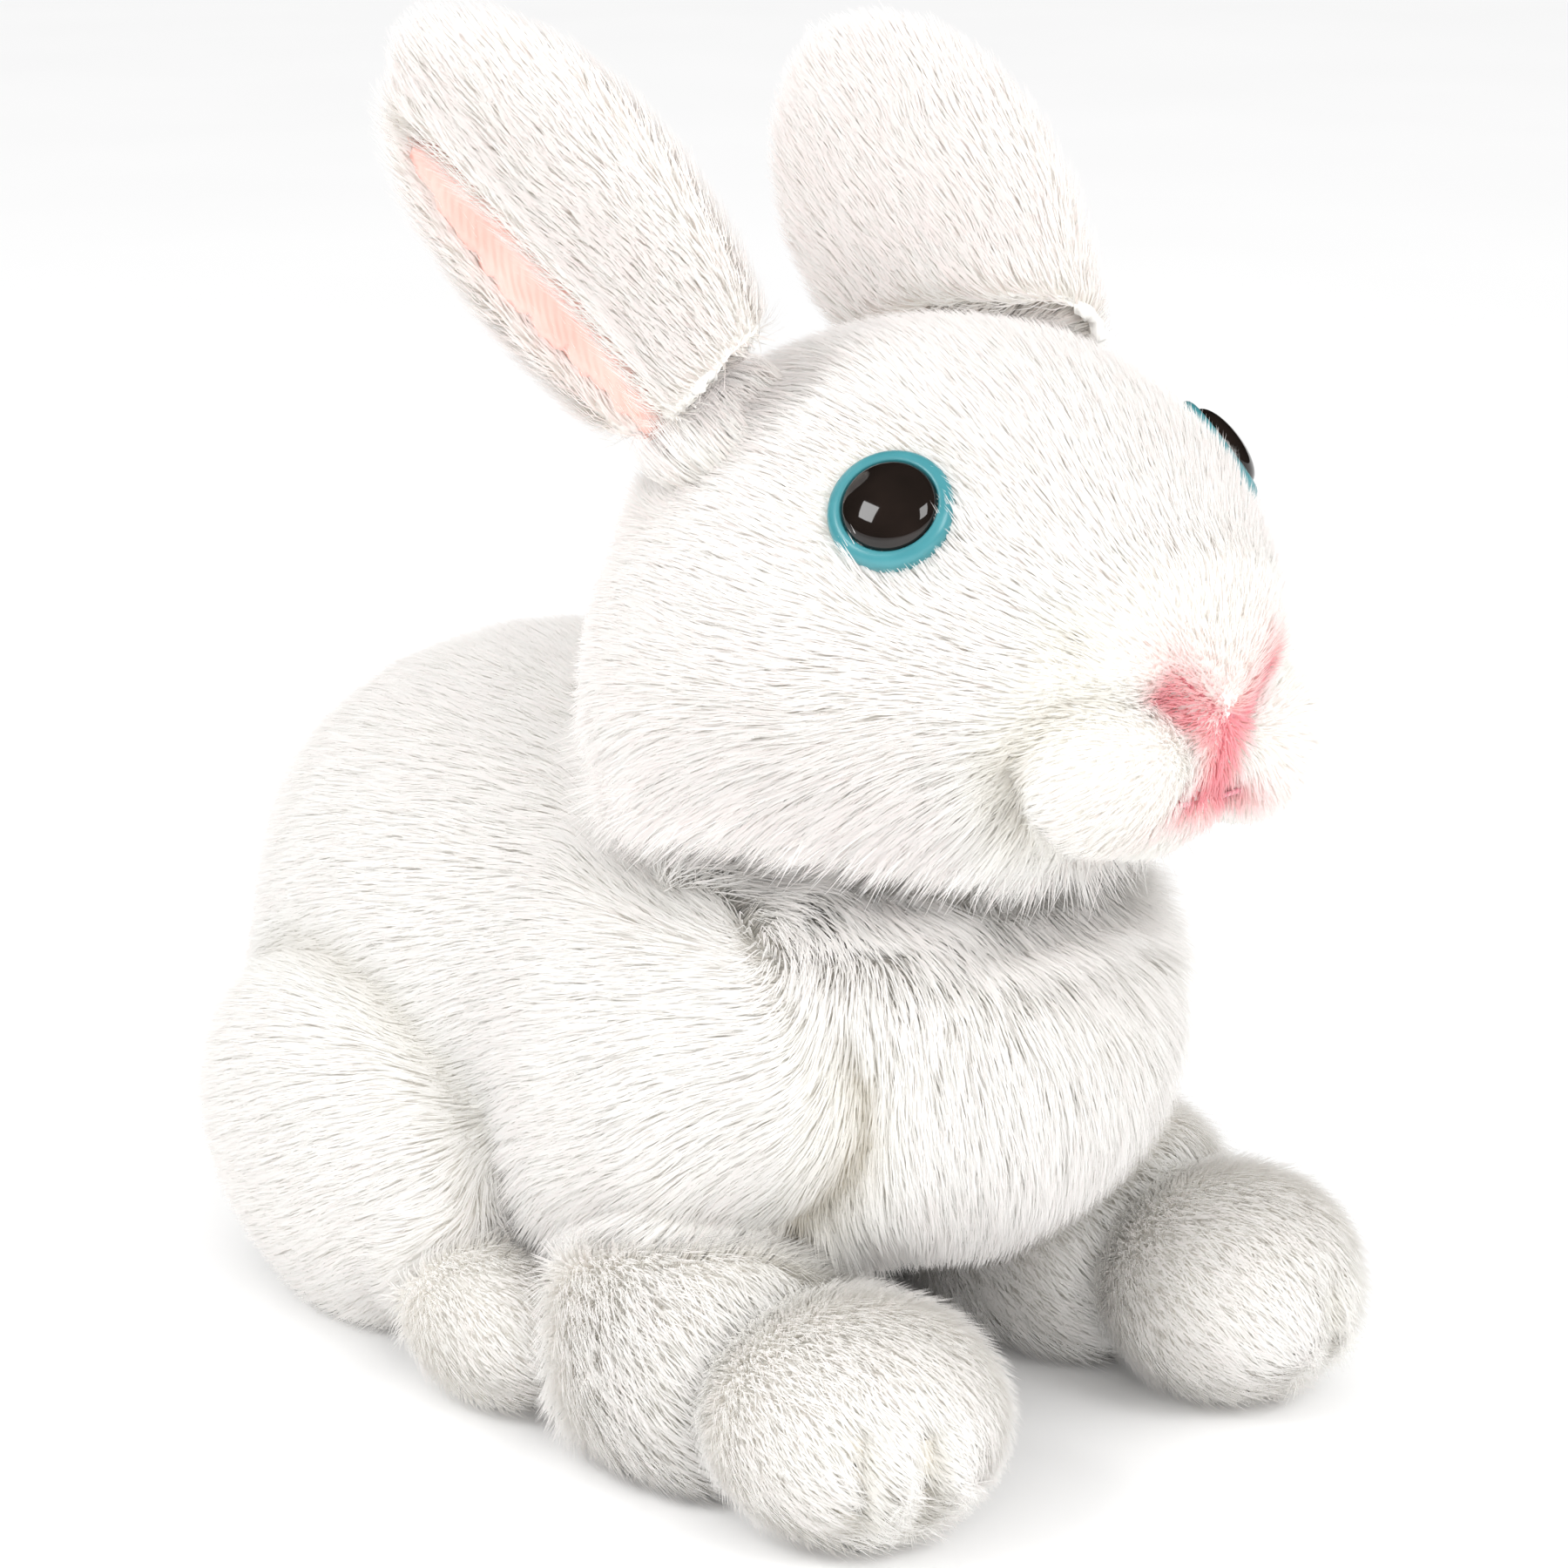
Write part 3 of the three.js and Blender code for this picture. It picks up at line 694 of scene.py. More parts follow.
def pile_tree():
    tree = bpy.data.node_groups.new("pile", "GeometryNodeTree")
    face = tree.interface
    face.new_socket("Skin", in_out="INPUT", socket_type="NodeSocketGeometry")
    for name in ("Strands", "Length", "Width", "Tuft", "Tuft Size", "Stray", "Tone Spread"):
        face.new_socket(name, in_out="INPUT", socket_type="NodeSocketFloat")
    face.new_socket("Seed", in_out="INPUT", socket_type="NodeSocketInt")
    face.new_socket("Finish", in_out="INPUT", socket_type="NodeSocketMaterial")
    face.new_socket("Pile", in_out="OUTPUT", socket_type="NodeSocketGeometry")
    given = tree.nodes.new("NodeGroupInput").outputs
    seed = given["Seed"]
    skin = stored(tree, given["Skin"], "facing", tree.nodes.new("GeometryNodeInputNormal").outputs[0],
                  "FLOAT_VECTOR")
    strands = maths(tree, "MULTIPLY", given["Strands"], named(tree, "thick"))
    where = {"Mesh": skin, "Density": strands, "Seed": seed}
    spread = add(tree, "GeometryNodeDistributePointsOnFaces", where)
    points = spread.outputs["Points"]
    up = vector_maths(tree, "NORMALIZE", named(tree, "facing", "FLOAT_VECTOR"))
    tuft = vector_maths(tree, "SCALE", noise_at(tree, given["Tuft Size"], 0.0), given["Tuft"])
    broad = maths(tree, "MULTIPLY", given["Tuft Size"], 0.27)
    sweep = vector_maths(tree, "SCALE", noise_at(tree, broad, 3.0), given["Tuft"])
    stray = vector_maths(tree, "SCALE", random_vector(tree, seed), given["Stray"])
    comb = vector_maths(tree, "ADD", named(tree, "comb", "FLOAT_VECTOR"), tuft)
    comb = vector_maths(tree, "ADD", vector_maths(tree, "ADD", comb, sweep), stray)
    tilt = vector_maths(tree, "SCALE", vector_maths(tree, "ADD", tuft, stray), 0.35)
    turn = add(
        tree,
        "FunctionNodeAxesToRotation",
        {"Primary Axis": vector_maths(tree, "ADD", up, tilt), "Secondary Axis": comb},
        primary_axis="Z",
        secondary_axis="Y",
    )
    length = maths(tree, "MULTIPLY", given["Length"], named(tree, "long"))
    length = maths(tree, "MULTIPLY", length, random_number(tree, 0.7, 1.15, seed))
    size = combined(tree, given["Width"], length, length)
    placed = add(
        tree,
        "GeometryNodeInstanceOnPoints",
        {
            "Points": points,
            "Instance": blade(tree),
            "Rotation": turn.outputs["Rotation"],
            "Scale": size,
        },
    )
    shade = random_number(tree, -1.0, 1.0, seed)
    tone = maths(tree, "MULTIPLY_ADD", shade, given["Tone Spread"], named(tree, "tone"))
    tone = maths(tree, "MINIMUM", maths(tree, "MAXIMUM", tone, 0.02), 0.98)
    whole = stored(tree, placed.outputs["Instances"], "strand_tone", tone, domain="INSTANCE")
    whole = add(tree, "GeometryNodeRealizeInstances", {"Geometry": whole}).outputs["Geometry"]
    across = maths(tree, "MULTIPLY_ADD", named(tree, "side"), UV_HALF_WIDTH, named(tree, "strand_tone"))
    along = maths(tree, "MULTIPLY_ADD", named(tree, "along"), 0.96, 0.02)
    whole = stored(tree, whole, "OFBake", combined(tree, across, along, 0.0), "FLOAT2", "CORNER")
    here = tree.nodes.new("GeometryNodeInputPosition").outputs["Position"]
    axes = add(tree, "ShaderNodeSeparateXYZ", {"Vector": here})
    height = maths(tree, "MAXIMUM", axes.outputs["Z"], FLOOR_GAP)
    on_floor = combined(tree, axes.outputs["X"], axes.outputs["Y"], height)
    whole = add(tree, "GeometryNodeSetPosition", {"Geometry": whole, "Position": on_floor}).outputs[0]
    own = vector_maths(tree, "SCALE", tree.nodes.new("GeometryNodeInputNormal").outputs[0], 0.15)
    soft = vector_maths(tree, "ADD", named(tree, "facing", "FLOAT_VECTOR"), own)
    whole = stored(tree, whole, "custom_normal", vector_maths(tree, "NORMALIZE", soft), "FLOAT_VECTOR")
    whole = add(tree, "GeometryNodeSetMaterial", {"Geometry": whole, "Material": given["Finish"]})
    tree.links.new(whole.outputs[0], tree.nodes.new("NodeGroupOutput").inputs["Pile"])
    return tree


pile_nodes = pile_tree()
print("pile tree nodes:", len(pile_nodes.nodes))

# %% Growing the pile
PILE_LAYERS = {"position", "OFBake", "custom_normal", "material_index", "sharp_face"}
MOST_FACES = 190_000
STRAND_WIDTH = 0.26 * MM
PILE_LENGTH = 8 * MM
grown = []


def grow(name, skin, body, slot, finish, strands, seed=1, **sizes):
    """Grows pile on a skin's mesh and returns it as a plain mesh object."""
    made = as_object(name, skin)
    way = made.modifiers.new("pile", "NODES")
    way.node_group = pile_nodes
    named_sockets = {s.name: s.identifier for s in pile_nodes.interface.items_tree}
    values = {
        "Strands": strands * 1,
        "Length": PILE_LENGTH,
        "Width": STRAND_WIDTH * 1,
        "Tuft": 0.24,
        "Tuft Size": 260.0,
        "Stray": 0.14,
        "Tone Spread": 0.04,
        "Seed": seed,
        "Finish": finish,
    }
    values.update({key.replace("_", " "): value for key, value in sizes.items()})
    for key, value in values.items():
        way[named_sockets[key]] = value
    mesh = evaluated(made, name)
    bpy.data.objects.remove(made)
    names = [a.name for a in mesh.attributes if not a.name.startswith(".")]
    for layer in [name for name in names if name not in PILE_LAYERS]:
        mesh.attributes.remove(mesh.attributes[layer])
    faces = sum(len(p.vertices) - 2 for p in mesh.polygons)
    if faces > MOST_FACES:
        print("TOO MANY", name, faces)
    pile = as_object(name, mesh)
    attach(pile, body)
    grown.append((name, faces))
    return pile


# %% Sewing a skin
PILE_RISE = 0.5  # how high combed pile stands, for its length
MOST_STRANDS = 60_000
HEAD_STRANDS, BODY_STRANDS = 6.4e6, 5.6e6  # on a square metre
LEG_STRANDS, BAG_STRANDS = 6.0e6, 5.1e6
EAR_STRANDS, LINING_STRANDS = 6.4e6, 7.6e6


def sewn(skin, cover, body, slot):
    """The knitted backing of one cover, with its thickness, in place of the CAD cover."""
    made = as_object(cover.removesuffix("_cover") + "_skin", skin.copy())
    for layer in [a.name for a in made.data.attributes if a.name in ("comb", "long", "thick", "tone")]:
        made.data.attributes.remove(made.data.attributes[layer])
    wall = made.modifiers.new("wall", "SOLIDIFY")
    wall.thickness, wall.offset = BACKING, -1
    mesh = evaluated(made, made.name)
    made.modifiers.clear()
    made.data = mesh
    mesh.shade_smooth()
    mesh.materials.clear()
    mesh.materials.append(lining_cloth if slot == "ear_plush" else plush_cloth)
    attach(made, body)
    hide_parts(cover)
    return made


def bands_of(skin, strands):
    """Splits a skin from front to back so that no band holds too many strands."""
    middles = read(skin, "polygons", "center")
    areas = np.array([p.area for p in skin.polygons])
    thick = np.empty(len(skin.vertices), np.float32)
    skin.attributes["thick"].data.foreach_get("value", thick)
    thick = np.array([thick[list(p.vertices)].mean() for p in skin.polygons])
    order = np.argsort(middles[:, 1])
    counted = np.cumsum((areas * thick * strands)[order])
    count = max(1, math.ceil(counted[-1] / MOST_STRANDS))
    band = np.empty(len(order), int)
    band[order] = np.minimum(counted / counted[-1] * count, count - 1).astype(int)
    return [share_of(skin, band == i, "band") for i in range(count)]


def covered(part, covers, slots, finish, strands, hole=None, seed=1, **sizes):
    """Sews the skins of a part and grows the pile on each."""
    for cover, slot, skin in zip(covers, slots, skins_of(part, covers, hole)):
        sewn(skin, cover, part.body, slot)
        bands = bands_of(skin, strands)
        for index, band in enumerate(bands):
            name = cover.removesuffix("_cover") + "_pile"
            if len(bands) > 1:
                name += f"_{index + 1}"
            grow(name, band, part.body, slot, finish, strands, seed + index, **sizes)


def measured(part, comb, long, thick=1.0, tone=0.5):
    """Stores what the pile needs at each of a part's points."""
    count = len(part.points)
    give(part.mesh, "comb", part.flat(comb))
    for name, values in (("long", long), ("thick", thick), ("tone", tone)):
        give(part.mesh, name, np.broadcast_to(values, (count,)))


# %% [markdown]
# ## Head
#
# The head is two covers: the head itself and a muzzle of shorter pile. The seam between them, and
# the thread of the mouth, pull the cloth in. The pile is combed away from the nose, lies shorter
# round the eyes and on the muzzle, and is cut away where the eyes sit.

# %% The eyes' places
EYES = {}
for side in SIDES:
    back, front = (read(frame["nodes"][f"eye_{side}_{n}"].data).mean(axis=0) for n in ("washer", "pupil"))
    axis = unit(front - back)
    EYES[side] = (Vector(front), Vector(axis))


def from_eye(points, side):
    """How far points are from the line through the middle of an eye, and from its place."""
    middle, axis = (np.array(v) for v in EYES[side])
    offset = points - middle
    along = offset @ axis
    across = np.linalg.norm(offset - along[:, None] * axis, axis=1)
    return across, np.abs(along)


def by_eyes(points, low, high):
    """0 at an eye, rising to 1 between two distances from its axis."""
    free = np.ones(len(points))
    for side in SIDES:
        across, along = from_eye(points, side)
        free *= np.where(along < 15 * MM, smoothstep(low, high, across), 1)
    return free


# %% Head skin and pile
head_nodes = ["head_cover", "muzzle_cover", "head_filling", "mouth_thread"]
head_nodes += [f"eye_{side}_{piece}" for side in SIDES for piece in ("iris", "washer")]
head = Part("head", head_nodes)
muzzle_low, muzzle_high = (np.array(v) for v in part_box("muzzle_cover"))
PAD_MIDDLE = np.array([11, -91.8, 102]) * MM  # the left pad of the muzzle
DIMPLE = np.array([18.3, -94.9, 119.5]) * MM  # the stitch above a pad
NOSE = np.array([0, muzzle_low[1], muzzle_low[2] * 0.45 + muzzle_high[2] * 0.55])
mouth = near(head.points, mouth_line, 2.2 * MM)
mouth_wide = near(head.points, mouth_line, 5 * MM)
mouth_fine = near(head.points, mouth_line, 1.7 * MM)
on_muzzle = 1 - smoothstep(0, 6 * MM, gaps(head.points, surface_of(["muzzle_cover"])))
eye_free = by_eyes(head.points, 8 * MM, 15 * MM)
jaw = smoothstep(112 * MM, 92 * MM, head.points[:, 2]) * (1 - on_muzzle)
ears = surface_of([f"ear_{side}_back" for side in SIDES])
by_ears = 1 - smoothstep(3 * MM, 10 * MM, gaps(head.points, ears))
tuft = np.zeros(len(head.points))  # the tuft that laps over the lower front of an eye
for side in SIDES:
    across, _ = from_eye(head.points, side)
    below = unit(head.points - np.array(EYES[side][0])) @ unit(np.array([0, -0.55, -0.8]))
    tuft += smoothstep(0.35, 0.8, below) * smoothstep(16 * MM, 11 * MM, across)
short = np.maximum(0.62 + 0.38 * eye_free, 1.2 * tuft)
head_long = (0.72 - 0.36 * on_muzzle + 0.75 * jaw + 0.7 * by_ears) * short
pads, pad_crease = np.zeros(len(head.points)), np.zeros(len(head.points))
for sign in SIDES.values():
    aim = unit(np.array([0.5 * sign, -0.85, -0.12]))
    offset = head.points - PAD_MIDDLE * (sign, 1, 1)
    ahead = offset @ aim
    reach = np.linalg.norm(offset - ahead[:, None] * aim, axis=1)
    front = smoothstep(-4 * MM, 2 * MM, ahead)
    pads += front * np.exp(-((reach / (9.5 * MM)) ** 4))
    ring = np.exp(-(((reach - 13 * MM) / (2.4 * MM)) ** 2))
    outer = smoothstep(1 * MM, 6 * MM, head.points[:, 0] * sign)
    low = smoothstep(121 * MM, 112 * MM, head.points[:, 2])
    pad_crease += smoothstep(-9 * MM, -4 * MM, ahead) * ring * outer * low
pad_crease = np.minimum(pad_crease, 1)
mirrored_points = np.abs(head.points) * (1, -1, 1)
dimple = np.exp(-((np.linalg.norm(mirrored_points - DIMPLE, axis=1) / (3.2 * MM)) ** 2))
clear = head.clear()
depth = PILE_RISE * PILE_LENGTH * head_long * clear + 0.1 * MM * (1 - clear)
drawn_in = 1.7 * MM * mouth + 3.2 * MM * pad_crease + 2.2 * MM * dimple
head.sink(depth + drawn_in - 1.5 * MM * pads * (1 - mouth))
head.stuff(np.maximum.reduce([mouth_wide, pad_crease, 1 - clear, 1 - eye_free]))
rose = 0.28 * mouth_fine + 0.14 * mouth_wide
# Painted shade: the tone drops toward cream in the pad creases and the dimple; the rose at the mouth is
# the toy's own colour.
head_tone = 0.49 + rose - (0.26 * pad_crease + 0.25 * dimple) * (1 - mouth_wide)
head_thick = head.clear(*BARE) * by_eyes(head.points, 7.4 * MM, 7.9 * MM)
head_comb = unit(head.points - NOSE) + 1.0 * jaw[:, None] * np.array([0, 0.1, -1])
for side in SIDES:
    root = ear_root(side)
    same = (head.points[:, 0] * SIDES[side] > 0)[:, None]
    head_comb = head_comb + 1.5 * (by_ears[:, None] * same) * unit(root - head.points)
head_comb = head_comb + 0.8 * np.minimum(tuft, 1)[:, None] * np.array([0, 0.3, 1])
measured(head, head_comb, head_long, head_thick, head_tone)


def eye_hole(middles):
    return by_eyes(middles, 7.2 * MM, 7.3 * MM) < 0.5


head_covers = ["head_cover", "muzzle_cover"]
covered(head, head_covers, ["plush", "plush"], plush_pile, HEAD_STRANDS, hole=eye_hole, seed=11)
print("head strand bands:", grown)

# %% [markdown]
# ## Body and haunches
#
# The back, chest, belly and haunches are made as one part, because they are sewn to each other and
# do not move on each other. The chest has the longest pile, in tufts.

# %% Body skin and pile
body_covers = ["body_cover", "chest_panel", "belly_panel", "thigh_right_cover", "thigh_left_cover"]
body_slots = ["plush", "chest_plush", "belly_plush", "plush", "plush"]
body_nodes = body_covers + ["body_filling", "pellet_bag", "thigh_right_filling", "thigh_left_filling"]
body = Part("body", body_nodes)
haunch_seam = np.vstack([seam_between(f"thigh_{side}_cover", "body_cover") for side in SIDES])
x, y, z = body.points.T
chest = 1 - smoothstep(0, 8 * MM, gaps(body.points, surface_of(["chest_panel"])))
haunch = near(body.points, haunch_seam, 3 * MM)
parting = near(body.points, chest_seam[np.abs(chest_seam[:, 0]) > 27 * MM], 2.7 * MM)
parting = parting * smoothstep(70 * MM, 60 * MM, z)
ruff = chest * smoothstep(62 * MM, 78 * MM, z)
forelegs = surface_of([f"front_leg_{side}_cover" for side in SIDES])
over_leg = 1 - smoothstep(3 * MM, 12 * MM, gaps(body.points, forelegs))
flank = np.exp(-(np.linalg.norm((np.abs(x) - 36 * MM, y + 14 * MM, z - 29 * MM), axis=0) / (12 * MM)) ** 2)
heads = surface_of(["head_cover", "muzzle_cover"])
by_head = 1 - smoothstep(3 * MM, 11 * MM, gaps(body.points, heads))
body_long = 0.9 + 0.2 * chest + 0.5 * ruff - 0.2 * smoothstep(40 * MM, 10 * MM, z)
body_long = body_long + 0.8 * by_head + 0.25 * over_leg + 0.5 * flank
body_long = body_long * (1 - 0.45 * haunch) * (1 - 0.5 * parting)
clear = body.clear()
floor_clear = smoothstep(0, 6 * MM, z)
depth = PILE_RISE * PILE_LENGTH * body_long * clear * (0.2 + 0.8 * floor_clear) + 0.1 * MM * (1 - clear)
body.sink(depth * (1 - 0.9 * flank) - 2.5 * MM * flank + 3.2 * MM * haunch + 4.2 * MM * parting)
body.stuff(np.maximum.reduce([haunch, parting, 1 - clear, 1 - floor_clear]))
rearward = np.array([0, 1, -0.45])
down = np.array([0, -0.15, -1])
comb = rearward + smoothstep(0.2, 0.8, chest)[:, None] * (down - rearward)
# Painted shade: the tone drops toward cream along the haunch seams and the chest parting.
body_tone = 0.48 - 0.2 * haunch - 0.36 * parting
body_thick = body.clear(*BARE) * (0.3 + 0.7 * floor_clear)
comb = comb + by_head[:, None] * np.array([0, -0.6, 1.4])
aside = near(body.points, chest_seam[np.abs(chest_seam[:, 0]) > 27 * MM], 5 * MM)
aside = aside * smoothstep(76 * MM, 66 * MM, z) * np.sign(np.abs(x) - 30 * MM) * np.sign(x)
comb = comb + 0.6 * aside[:, None] * np.array([1, 0, 0])
comb = comb + (over_leg + flank)[:, None] * np.array([0, -0.1, -0.8])
measured(body, comb, body_long, body_thick, body_tone)
covered(body, body_covers, body_slots, plush_pile, BODY_STRANDS, seed=21)

# %% [markdown]
# ## Legs, feet and tail
#
# A front leg and its paw are one part with a crease at the wrist and two toe creases. The feet and
# the tail are small stuffed bags.

# %% Front legs
legs = {}
for side, sign in SIDES.items():
    covers = [f"front_leg_{side}_cover", f"front_paw_{side}_cover"]
    toes = [f"toe_thread_{side}_{place}" for place in ("inner", "outer")]
    fillings = [f"front_leg_{side}_filling", f"front_paw_{side}_filling"]
    leg = legs[side] = Part(f"front_leg_{side}", covers + fillings + toes)
    wrist = near(leg.points, seam_between(*covers), 2.5 * MM)
    toe = near(leg.points, np.vstack([line_of(name) for name in toes]), 1.6 * MM)
    on_paw = 1 - smoothstep(0, 6 * MM, gaps(leg.points, surface_of([covers[1]])))
    long = 0.9 - 0.2 * on_paw + 0.3 * wrist
    clear = leg.clear()
    floor_clear = smoothstep(0, 5 * MM, leg.points[:, 2])
    depth = PILE_RISE * PILE_LENGTH * long * clear * (0.15 + 0.85 * floor_clear)
    upper = (1 - on_paw) * clear * floor_clear
    leg.sink(0.7 * depth * on_paw + 0.3 * MM * (1 - clear) + 2.6 * MM * toe - 2.0 * MM * upper)
    leg.stuff(np.maximum.reduce([wrist, toe, 1 - clear, 1 - floor_clear]))
    # Painted shade: the tone drops toward cream at the wrist crease and along the toe creases.
    tone = 0.48 - 0.1 * wrist - 0.2 * toe
    thick = leg.clear(*BARE) * (0.3 + 0.7 * floor_clear)
    measured(leg, (0, -1, -0.35), long, thick, tone)
    covered(leg, covers, ["plush", "plush"], plush_pile, LEG_STRANDS, seed=41 + sign, Stray=0.28)

# %% Hind feet and tail
for name, comb, length in (
    ("hind_foot_right", (0, -1, -0.3), 0.6),
    ("hind_foot_left", (0, -1, -0.3), 0.6),
    ("tail", (0, 1, 0.35), 1.15),
):
    bag = Part(name, [f"{name}_cover", f"{name}_filling"])
    clear = bag.clear()
    floor_clear = smoothstep(0, 5 * MM, bag.points[:, 2])
    depth = PILE_RISE * PILE_LENGTH * length * clear * (0.15 + 0.85 * floor_clear)
    bag.sink(depth + 0.5 * MM * (1 - clear))
    thick = bag.clear(*BARE) * (0.3 + 0.7 * floor_clear)
    measured(bag, comb, length, thick, 0.48)
    covered(bag, [f"{name}_cover"], ["plush"], plush_pile, BAG_STRANDS, seed=61)

# %% [markdown]
# ## Ears
#
# An ear is a folded back of plush, sewn round a lining of short salmon pile that shows in its cup.

# %% Ear skins and pile
for side, sign in SIDES.items():
    root = ear_root(side)
    for piece, depth, slot, finish, length, strands in (
        ("back", 2.4 * MM, "plush", plush_pile, 0.7, EAR_STRANDS),
        ("lining", 1.0 * MM, "ear_plush", lining_pile, 0.25, LINING_STRANDS),
    ):
        node = f"ear_{side}_{piece}"
        ear = Part(f"{node}_part", [node], 1.6 * MM, 6)
        ear.body = f"ear_{side}"
        own = surface_of([f"ear_{side}_{'lining' if piece == 'back' else 'back'}"])
        between = smoothstep(0.6 * MM, 3 * MM, gaps(ear.points, own))
        clear = ear.clear(2 * MM, 7 * MM)
        ear.sink(depth * (0.25 + 0.75 * between) + 1.2 * MM * (1 - clear))
        tip = ear.points[np.argmax(np.linalg.norm(ear.points - root, axis=1))]
        thick = smoothstep(0.2 * MM, 1.1 * MM, gaps(ear.points, own)) * ear.clear(*BARE)
        tone = 0.5 if piece == "back" else 0.35
        measured(ear, tip - root, length * (1.5 - 0.5 * clear), thick, tone)
        covered(ear, [node], [slot], finish, strands, seed=81 + sign, Tuft=0.3)

# %% [markdown]
# ## Eyes
#
# Each eye is a turned safety eye: a satin coloured ring with a glossy domed pupil, held by a post
# and a washer behind the cloth.

# %% Eye pieces
TEAL, LIGHT_TEAL = (0.045, 0.235, 0.27), (0.06, 0.28, 0.315)
BLACK, SOFT_BLACK = (0.008, 0.006, 0.005), (0.016, 0.011, 0.009)
iris_finish = mottled("iris_finish", 0.34, 220, TEAL, LIGHT_TEAL, Coat_Weight=0.25, Coat_Roughness=0.2)
pupil_finish = mottled("pupil_finish", 0.05, 150, BLACK, SOFT_BLACK)


def turned(name, profile, middle, axis, steps=64):
    """A solid turned from a profile of (radius, height) round an axis; its ends lie on the axis."""
    made = bmesh.new()
    spin = axis.to_track_quat("Z", "Y").to_matrix()
    rings = []
    for radius, height in profile:
        count = 1 if radius == 0 else steps
        ring = []
        for step in range(count):
            angle = 2 * math.pi * step / count
            spot = Vector((radius * math.cos(angle), radius * math.sin(angle), height))
            ring.append(made.verts.new(middle + spin @ spot))
        rings.append(ring)
    for low, high in zip(rings, rings[1:]):
        for step in range(steps):
            corners = [low[step % len(low)], low[(step + 1) % len(low)]]
            corners += [high[(step + 1) % len(high)], high[step % len(high)]]
            corners = list(dict.fromkeys(corners))
            if len(corners) > 2:
                made.faces.new(corners)
    bmesh.ops.recalc_face_normals(made, faces=made.faces)
    mesh = bpy.data.meshes.new(name)
    made.to_mesh(mesh)
    made.free()
    mesh.shade_smooth()
    return as_object(name, mesh)


PUPIL_RADIUS = 6 * MM
PUPIL_RISE = 2.4 * MM
for side in SIDES:
    front, axis = EYES[side]
    base = read(frame["nodes"][f"eye_{side}_iris"].data)
    heights = (base - np.array(front)) @ np.array(axis)
    top = front + axis * float(heights.max())  # the level of the ring's face
    ring = [(0, -4 * MM), (7.2 * MM, -4 * MM), (7.8 * MM, -3.4 * MM), (8 * MM, -2.4 * MM)]
    ring += [(8 * MM, -1.3 * MM), (7.86 * MM, -0.75 * MM), (7.5 * MM, -0.35 * MM)]
    ring += [(6.9 * MM, -0.1 * MM), (6.35 * MM, -0.02 * MM), (6.15 * MM, -0.15 * MM)]
    ring += [(6.1 * MM, -0.8 * MM), (0, -0.8 * MM)]
    dome = [(0, -0.7 * MM), (5.9 * MM, -0.7 * MM), (6.0 * MM, -0.3 * MM)]
    for step in range(1, 13):
        turn = step / 12 * math.pi / 2
        dome.append((PUPIL_RADIUS * math.cos(turn), -0.3 * MM + PUPIL_RISE * math.sin(turn)))
    dome[-1] = (0, dome[-1][1])
    for piece, profile, finish in (("iris", ring, iris_finish), ("pupil", dome, pupil_finish)):
        made = turned(f"eye_{side}_{piece}_turned", profile, top, axis)
        made.data.materials.append(finish)
        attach(made, "head")
        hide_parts(f"eye_{side}_{piece}")
print("eyes on", {side: [round(v / MM, 1) for v in EYES[side][0]] for side in EYES})

# %% [markdown]
# ## Threads
#
# The mouth and the toes are drawn in with thread. The thread is a twisted cord pulled down to the
# cloth, so each one is laid on the skin under it and hides in its crease.

# %% Threads laid on the skin
THREAD_VOXEL = 0.25 * MM


def thread_finish(name, light, dark):
    """Twisted thread: slanting bands of light and dark."""
    material, tree, shader = finish_of(name, 0.6, Sheen_Weight=0.3)
    place = add(tree, "ShaderNodeTexCoord").outputs["Object"]
    twist = add(tree, "ShaderNodeTexWave", {"Vector": place, "Scale": 500, "Distortion": 1.5})
    colour = ramp(tree, twist.outputs["Fac"], [(0.2, dark), (0.8, light)])
    tree.links.new(colour, shader.inputs["Base Color"])
    bump = {"Strength": 0.5, "Distance": 0.0002, "Height": twist.outputs["Fac"]}
    tree.links.new(add(tree, "ShaderNodeBump", bump).outputs["Normal"], shader.inputs["Normal"])
    return material


def laid(node, part, finish):
    """A copy of a thread, moved down onto the skin of its part."""
    mesh = remeshed([node], f"{node}_laid", THREAD_VOXEL, 2)
    points = read(mesh)
    line = tree_of(points)
    skin = BVHTree.FromPolygons(
        [Vector(p) for p in part.points], [tuple(f.vertices) for f in part.mesh.polygons]
    )
    moved = []
    for point in points:
        around = [found[0] for found in line.find_range(point, 1.1 * MM)]
        middle = sum(around, Vector()) / len(around)
        spot, normal, _, _ = skin.find_nearest(middle)
        moved.append((Vector(point) - middle) * 0.5 + spot - normal * 0.1 * MM)
    place(mesh, np.array([tuple(p) for p in moved]))
    mesh.shade_smooth()
    mesh.materials.append(finish)
    made = as_object(f"{node}_laid", mesh)
    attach(made, part.body)
    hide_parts(node)


rose_thread = thread_finish("rose_thread", (0.78, 0.30, 0.34), (0.62, 0.20, 0.25))
cream_thread = thread_finish("cream_thread", (0.90, 0.86, 0.78), (0.78, 0.73, 0.64))
laid("mouth_thread", head, rose_thread)
for side, leg in legs.items():
    for toe in ("inner", "outer"):
        laid(f"toe_thread_{side}_{toe}", leg, cream_thread)

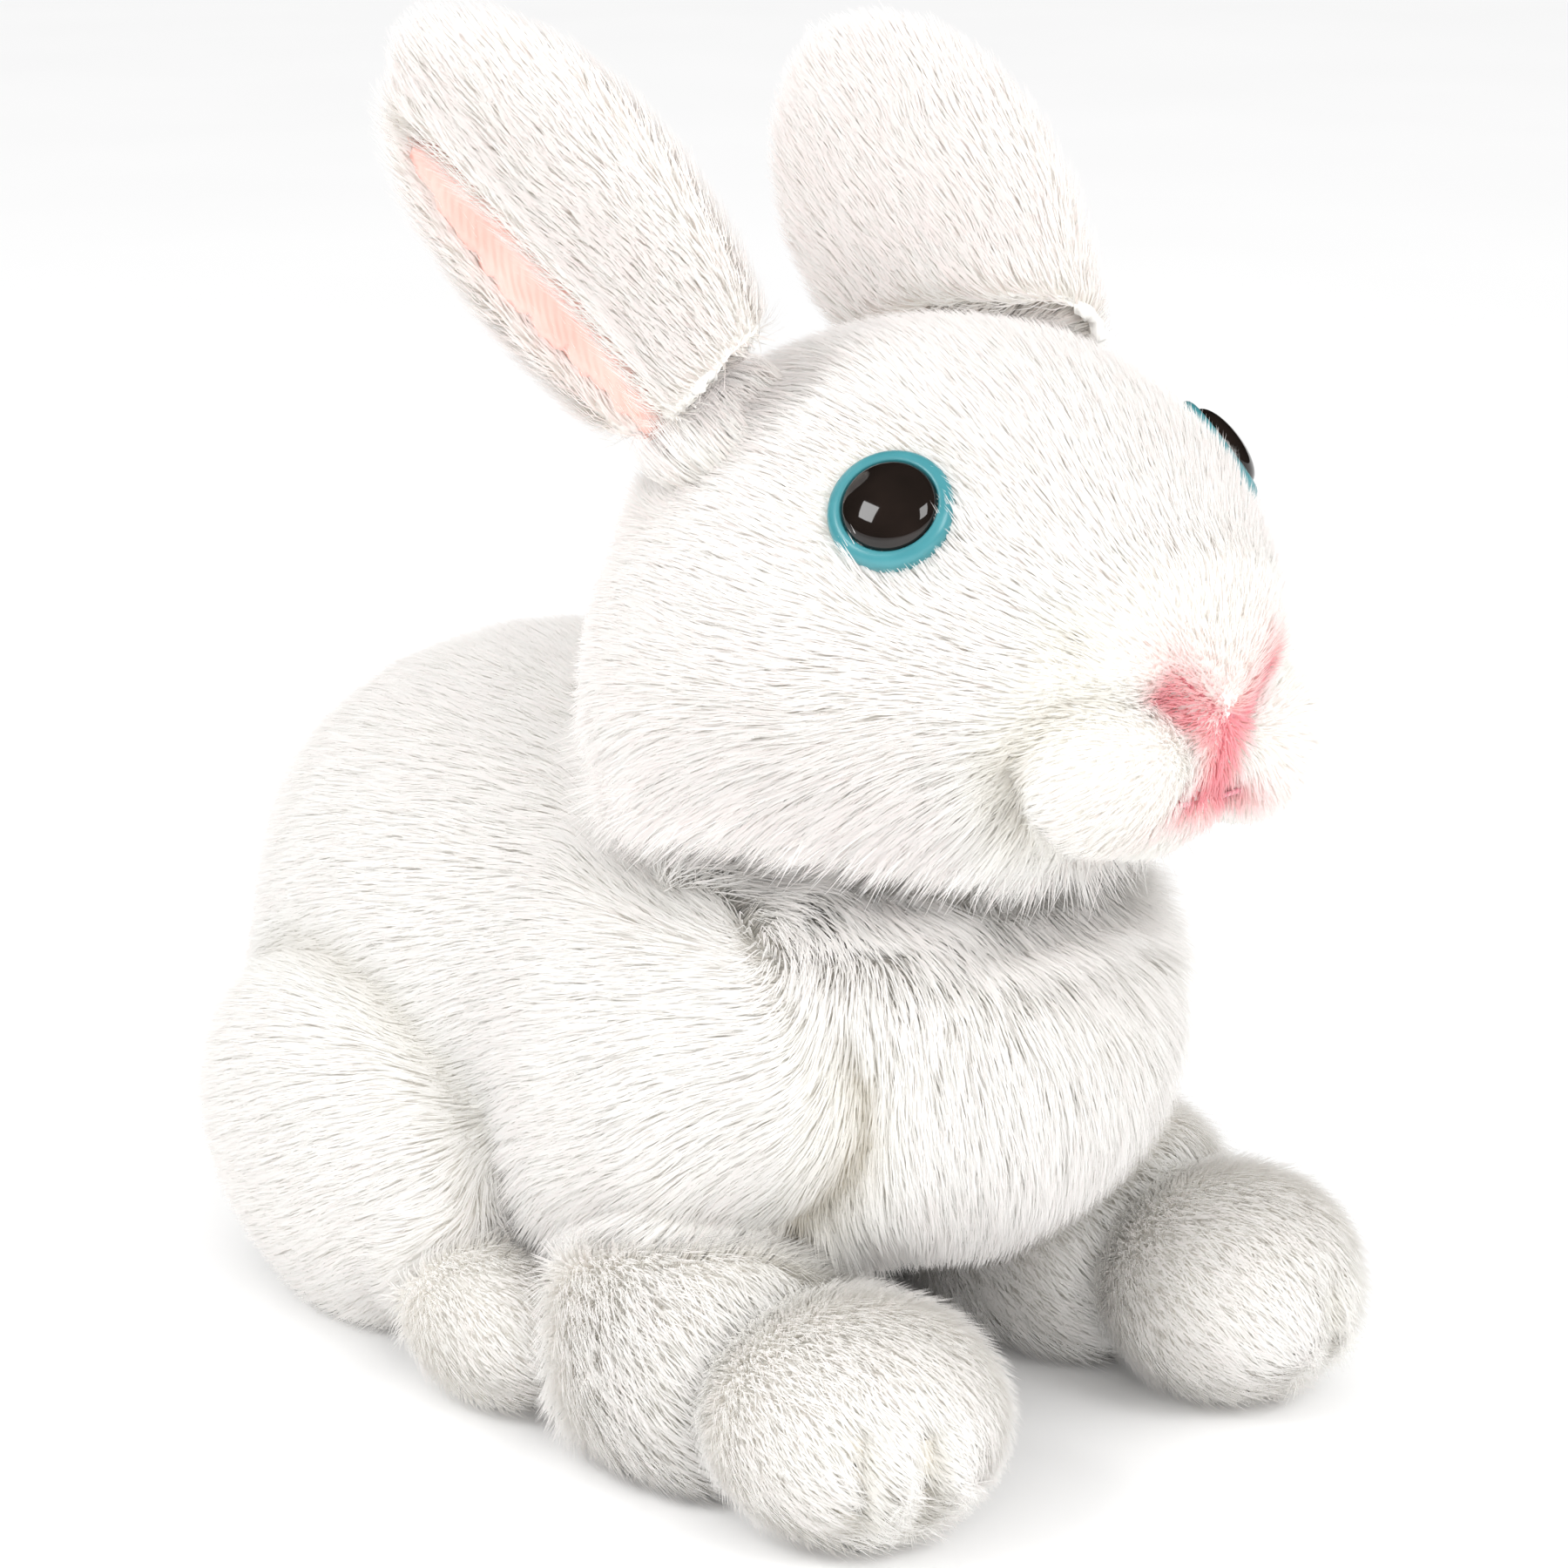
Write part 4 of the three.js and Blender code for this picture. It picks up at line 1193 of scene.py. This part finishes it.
# %% [markdown]
# ## Stuffing
#
# Inside the skins are lumps of polyester fibre, and a small bag of pellets sits low in the body to
# weigh it down. They are hidden, but they are there when the toy is opened.

# %% Stuffing, pellet bag and washers
stuffing_finish, tree, shader = finish_of("stuffing_finish", 0.95, Sheen_Weight=0.4)
place_of = add(tree, "ShaderNodeTexCoord").outputs["Object"]
wad = add(tree, "ShaderNodeTexNoise", {"Vector": place_of, "Scale": 300, "Detail": 6, "Distortion": 2})
white = ramp(tree, wad.outputs["Fac"], [(0.3, (0.82, 0.82, 0.80)), (0.7, (0.93, 0.93, 0.92))])
tree.links.new(white, shader.inputs["Base Color"])
bump = {"Strength": 0.8, "Distance": 0.0008, "Height": wad.outputs["Fac"]}
tree.links.new(add(tree, "ShaderNodeBump", bump).outputs["Normal"], shader.inputs["Normal"])

bag_finish = cloth_finish("bag_finish", (0.74, 0.70, 0.62), (0.62, 0.58, 0.50))

washer_finish = mottled("washer_finish", 0.45, 400, (0.75, 0.75, 0.72), (0.84, 0.84, 0.81))

WAD_VOXEL = 2.5 * MM
WAD_LUMPS = 1.1 * MM
wads = [n for n in frame["nodes"] if n.endswith("_filling")] + ["pellet_bag"]
for seed, node in enumerate(wads):
    mesh = remeshed([node], f"{node}_wad", WAD_VOXEL, 8)
    points, normals = read(mesh), unit(read(mesh, "vertices", "normal"))
    waves = np.sin(points * 420 + seed).sum(axis=1) + np.sin(points[:, ::-1] * 710 + seed).sum(axis=1)
    place(mesh, points - normals * (1.2 * MM + WAD_LUMPS * waves[:, None] / 4))
    mesh.shade_smooth()
    wad = as_object(f"{node}_wad", mesh)
    wad.data.materials.append(bag_finish if node == "pellet_bag" else stuffing_finish)
    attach(wad, frame["nodes"][node]["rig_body"])
    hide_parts(node)

for side in SIDES:
    washer = frame["nodes"][f"eye_{side}_washer"]
    washer.material_slots[0].link = "OBJECT"
    washer.material_slots[0].material = washer_finish
print("stuffed:", len(wads), "pieces")

print("strands:", sum(f for _, f in grown) // 3, grown)
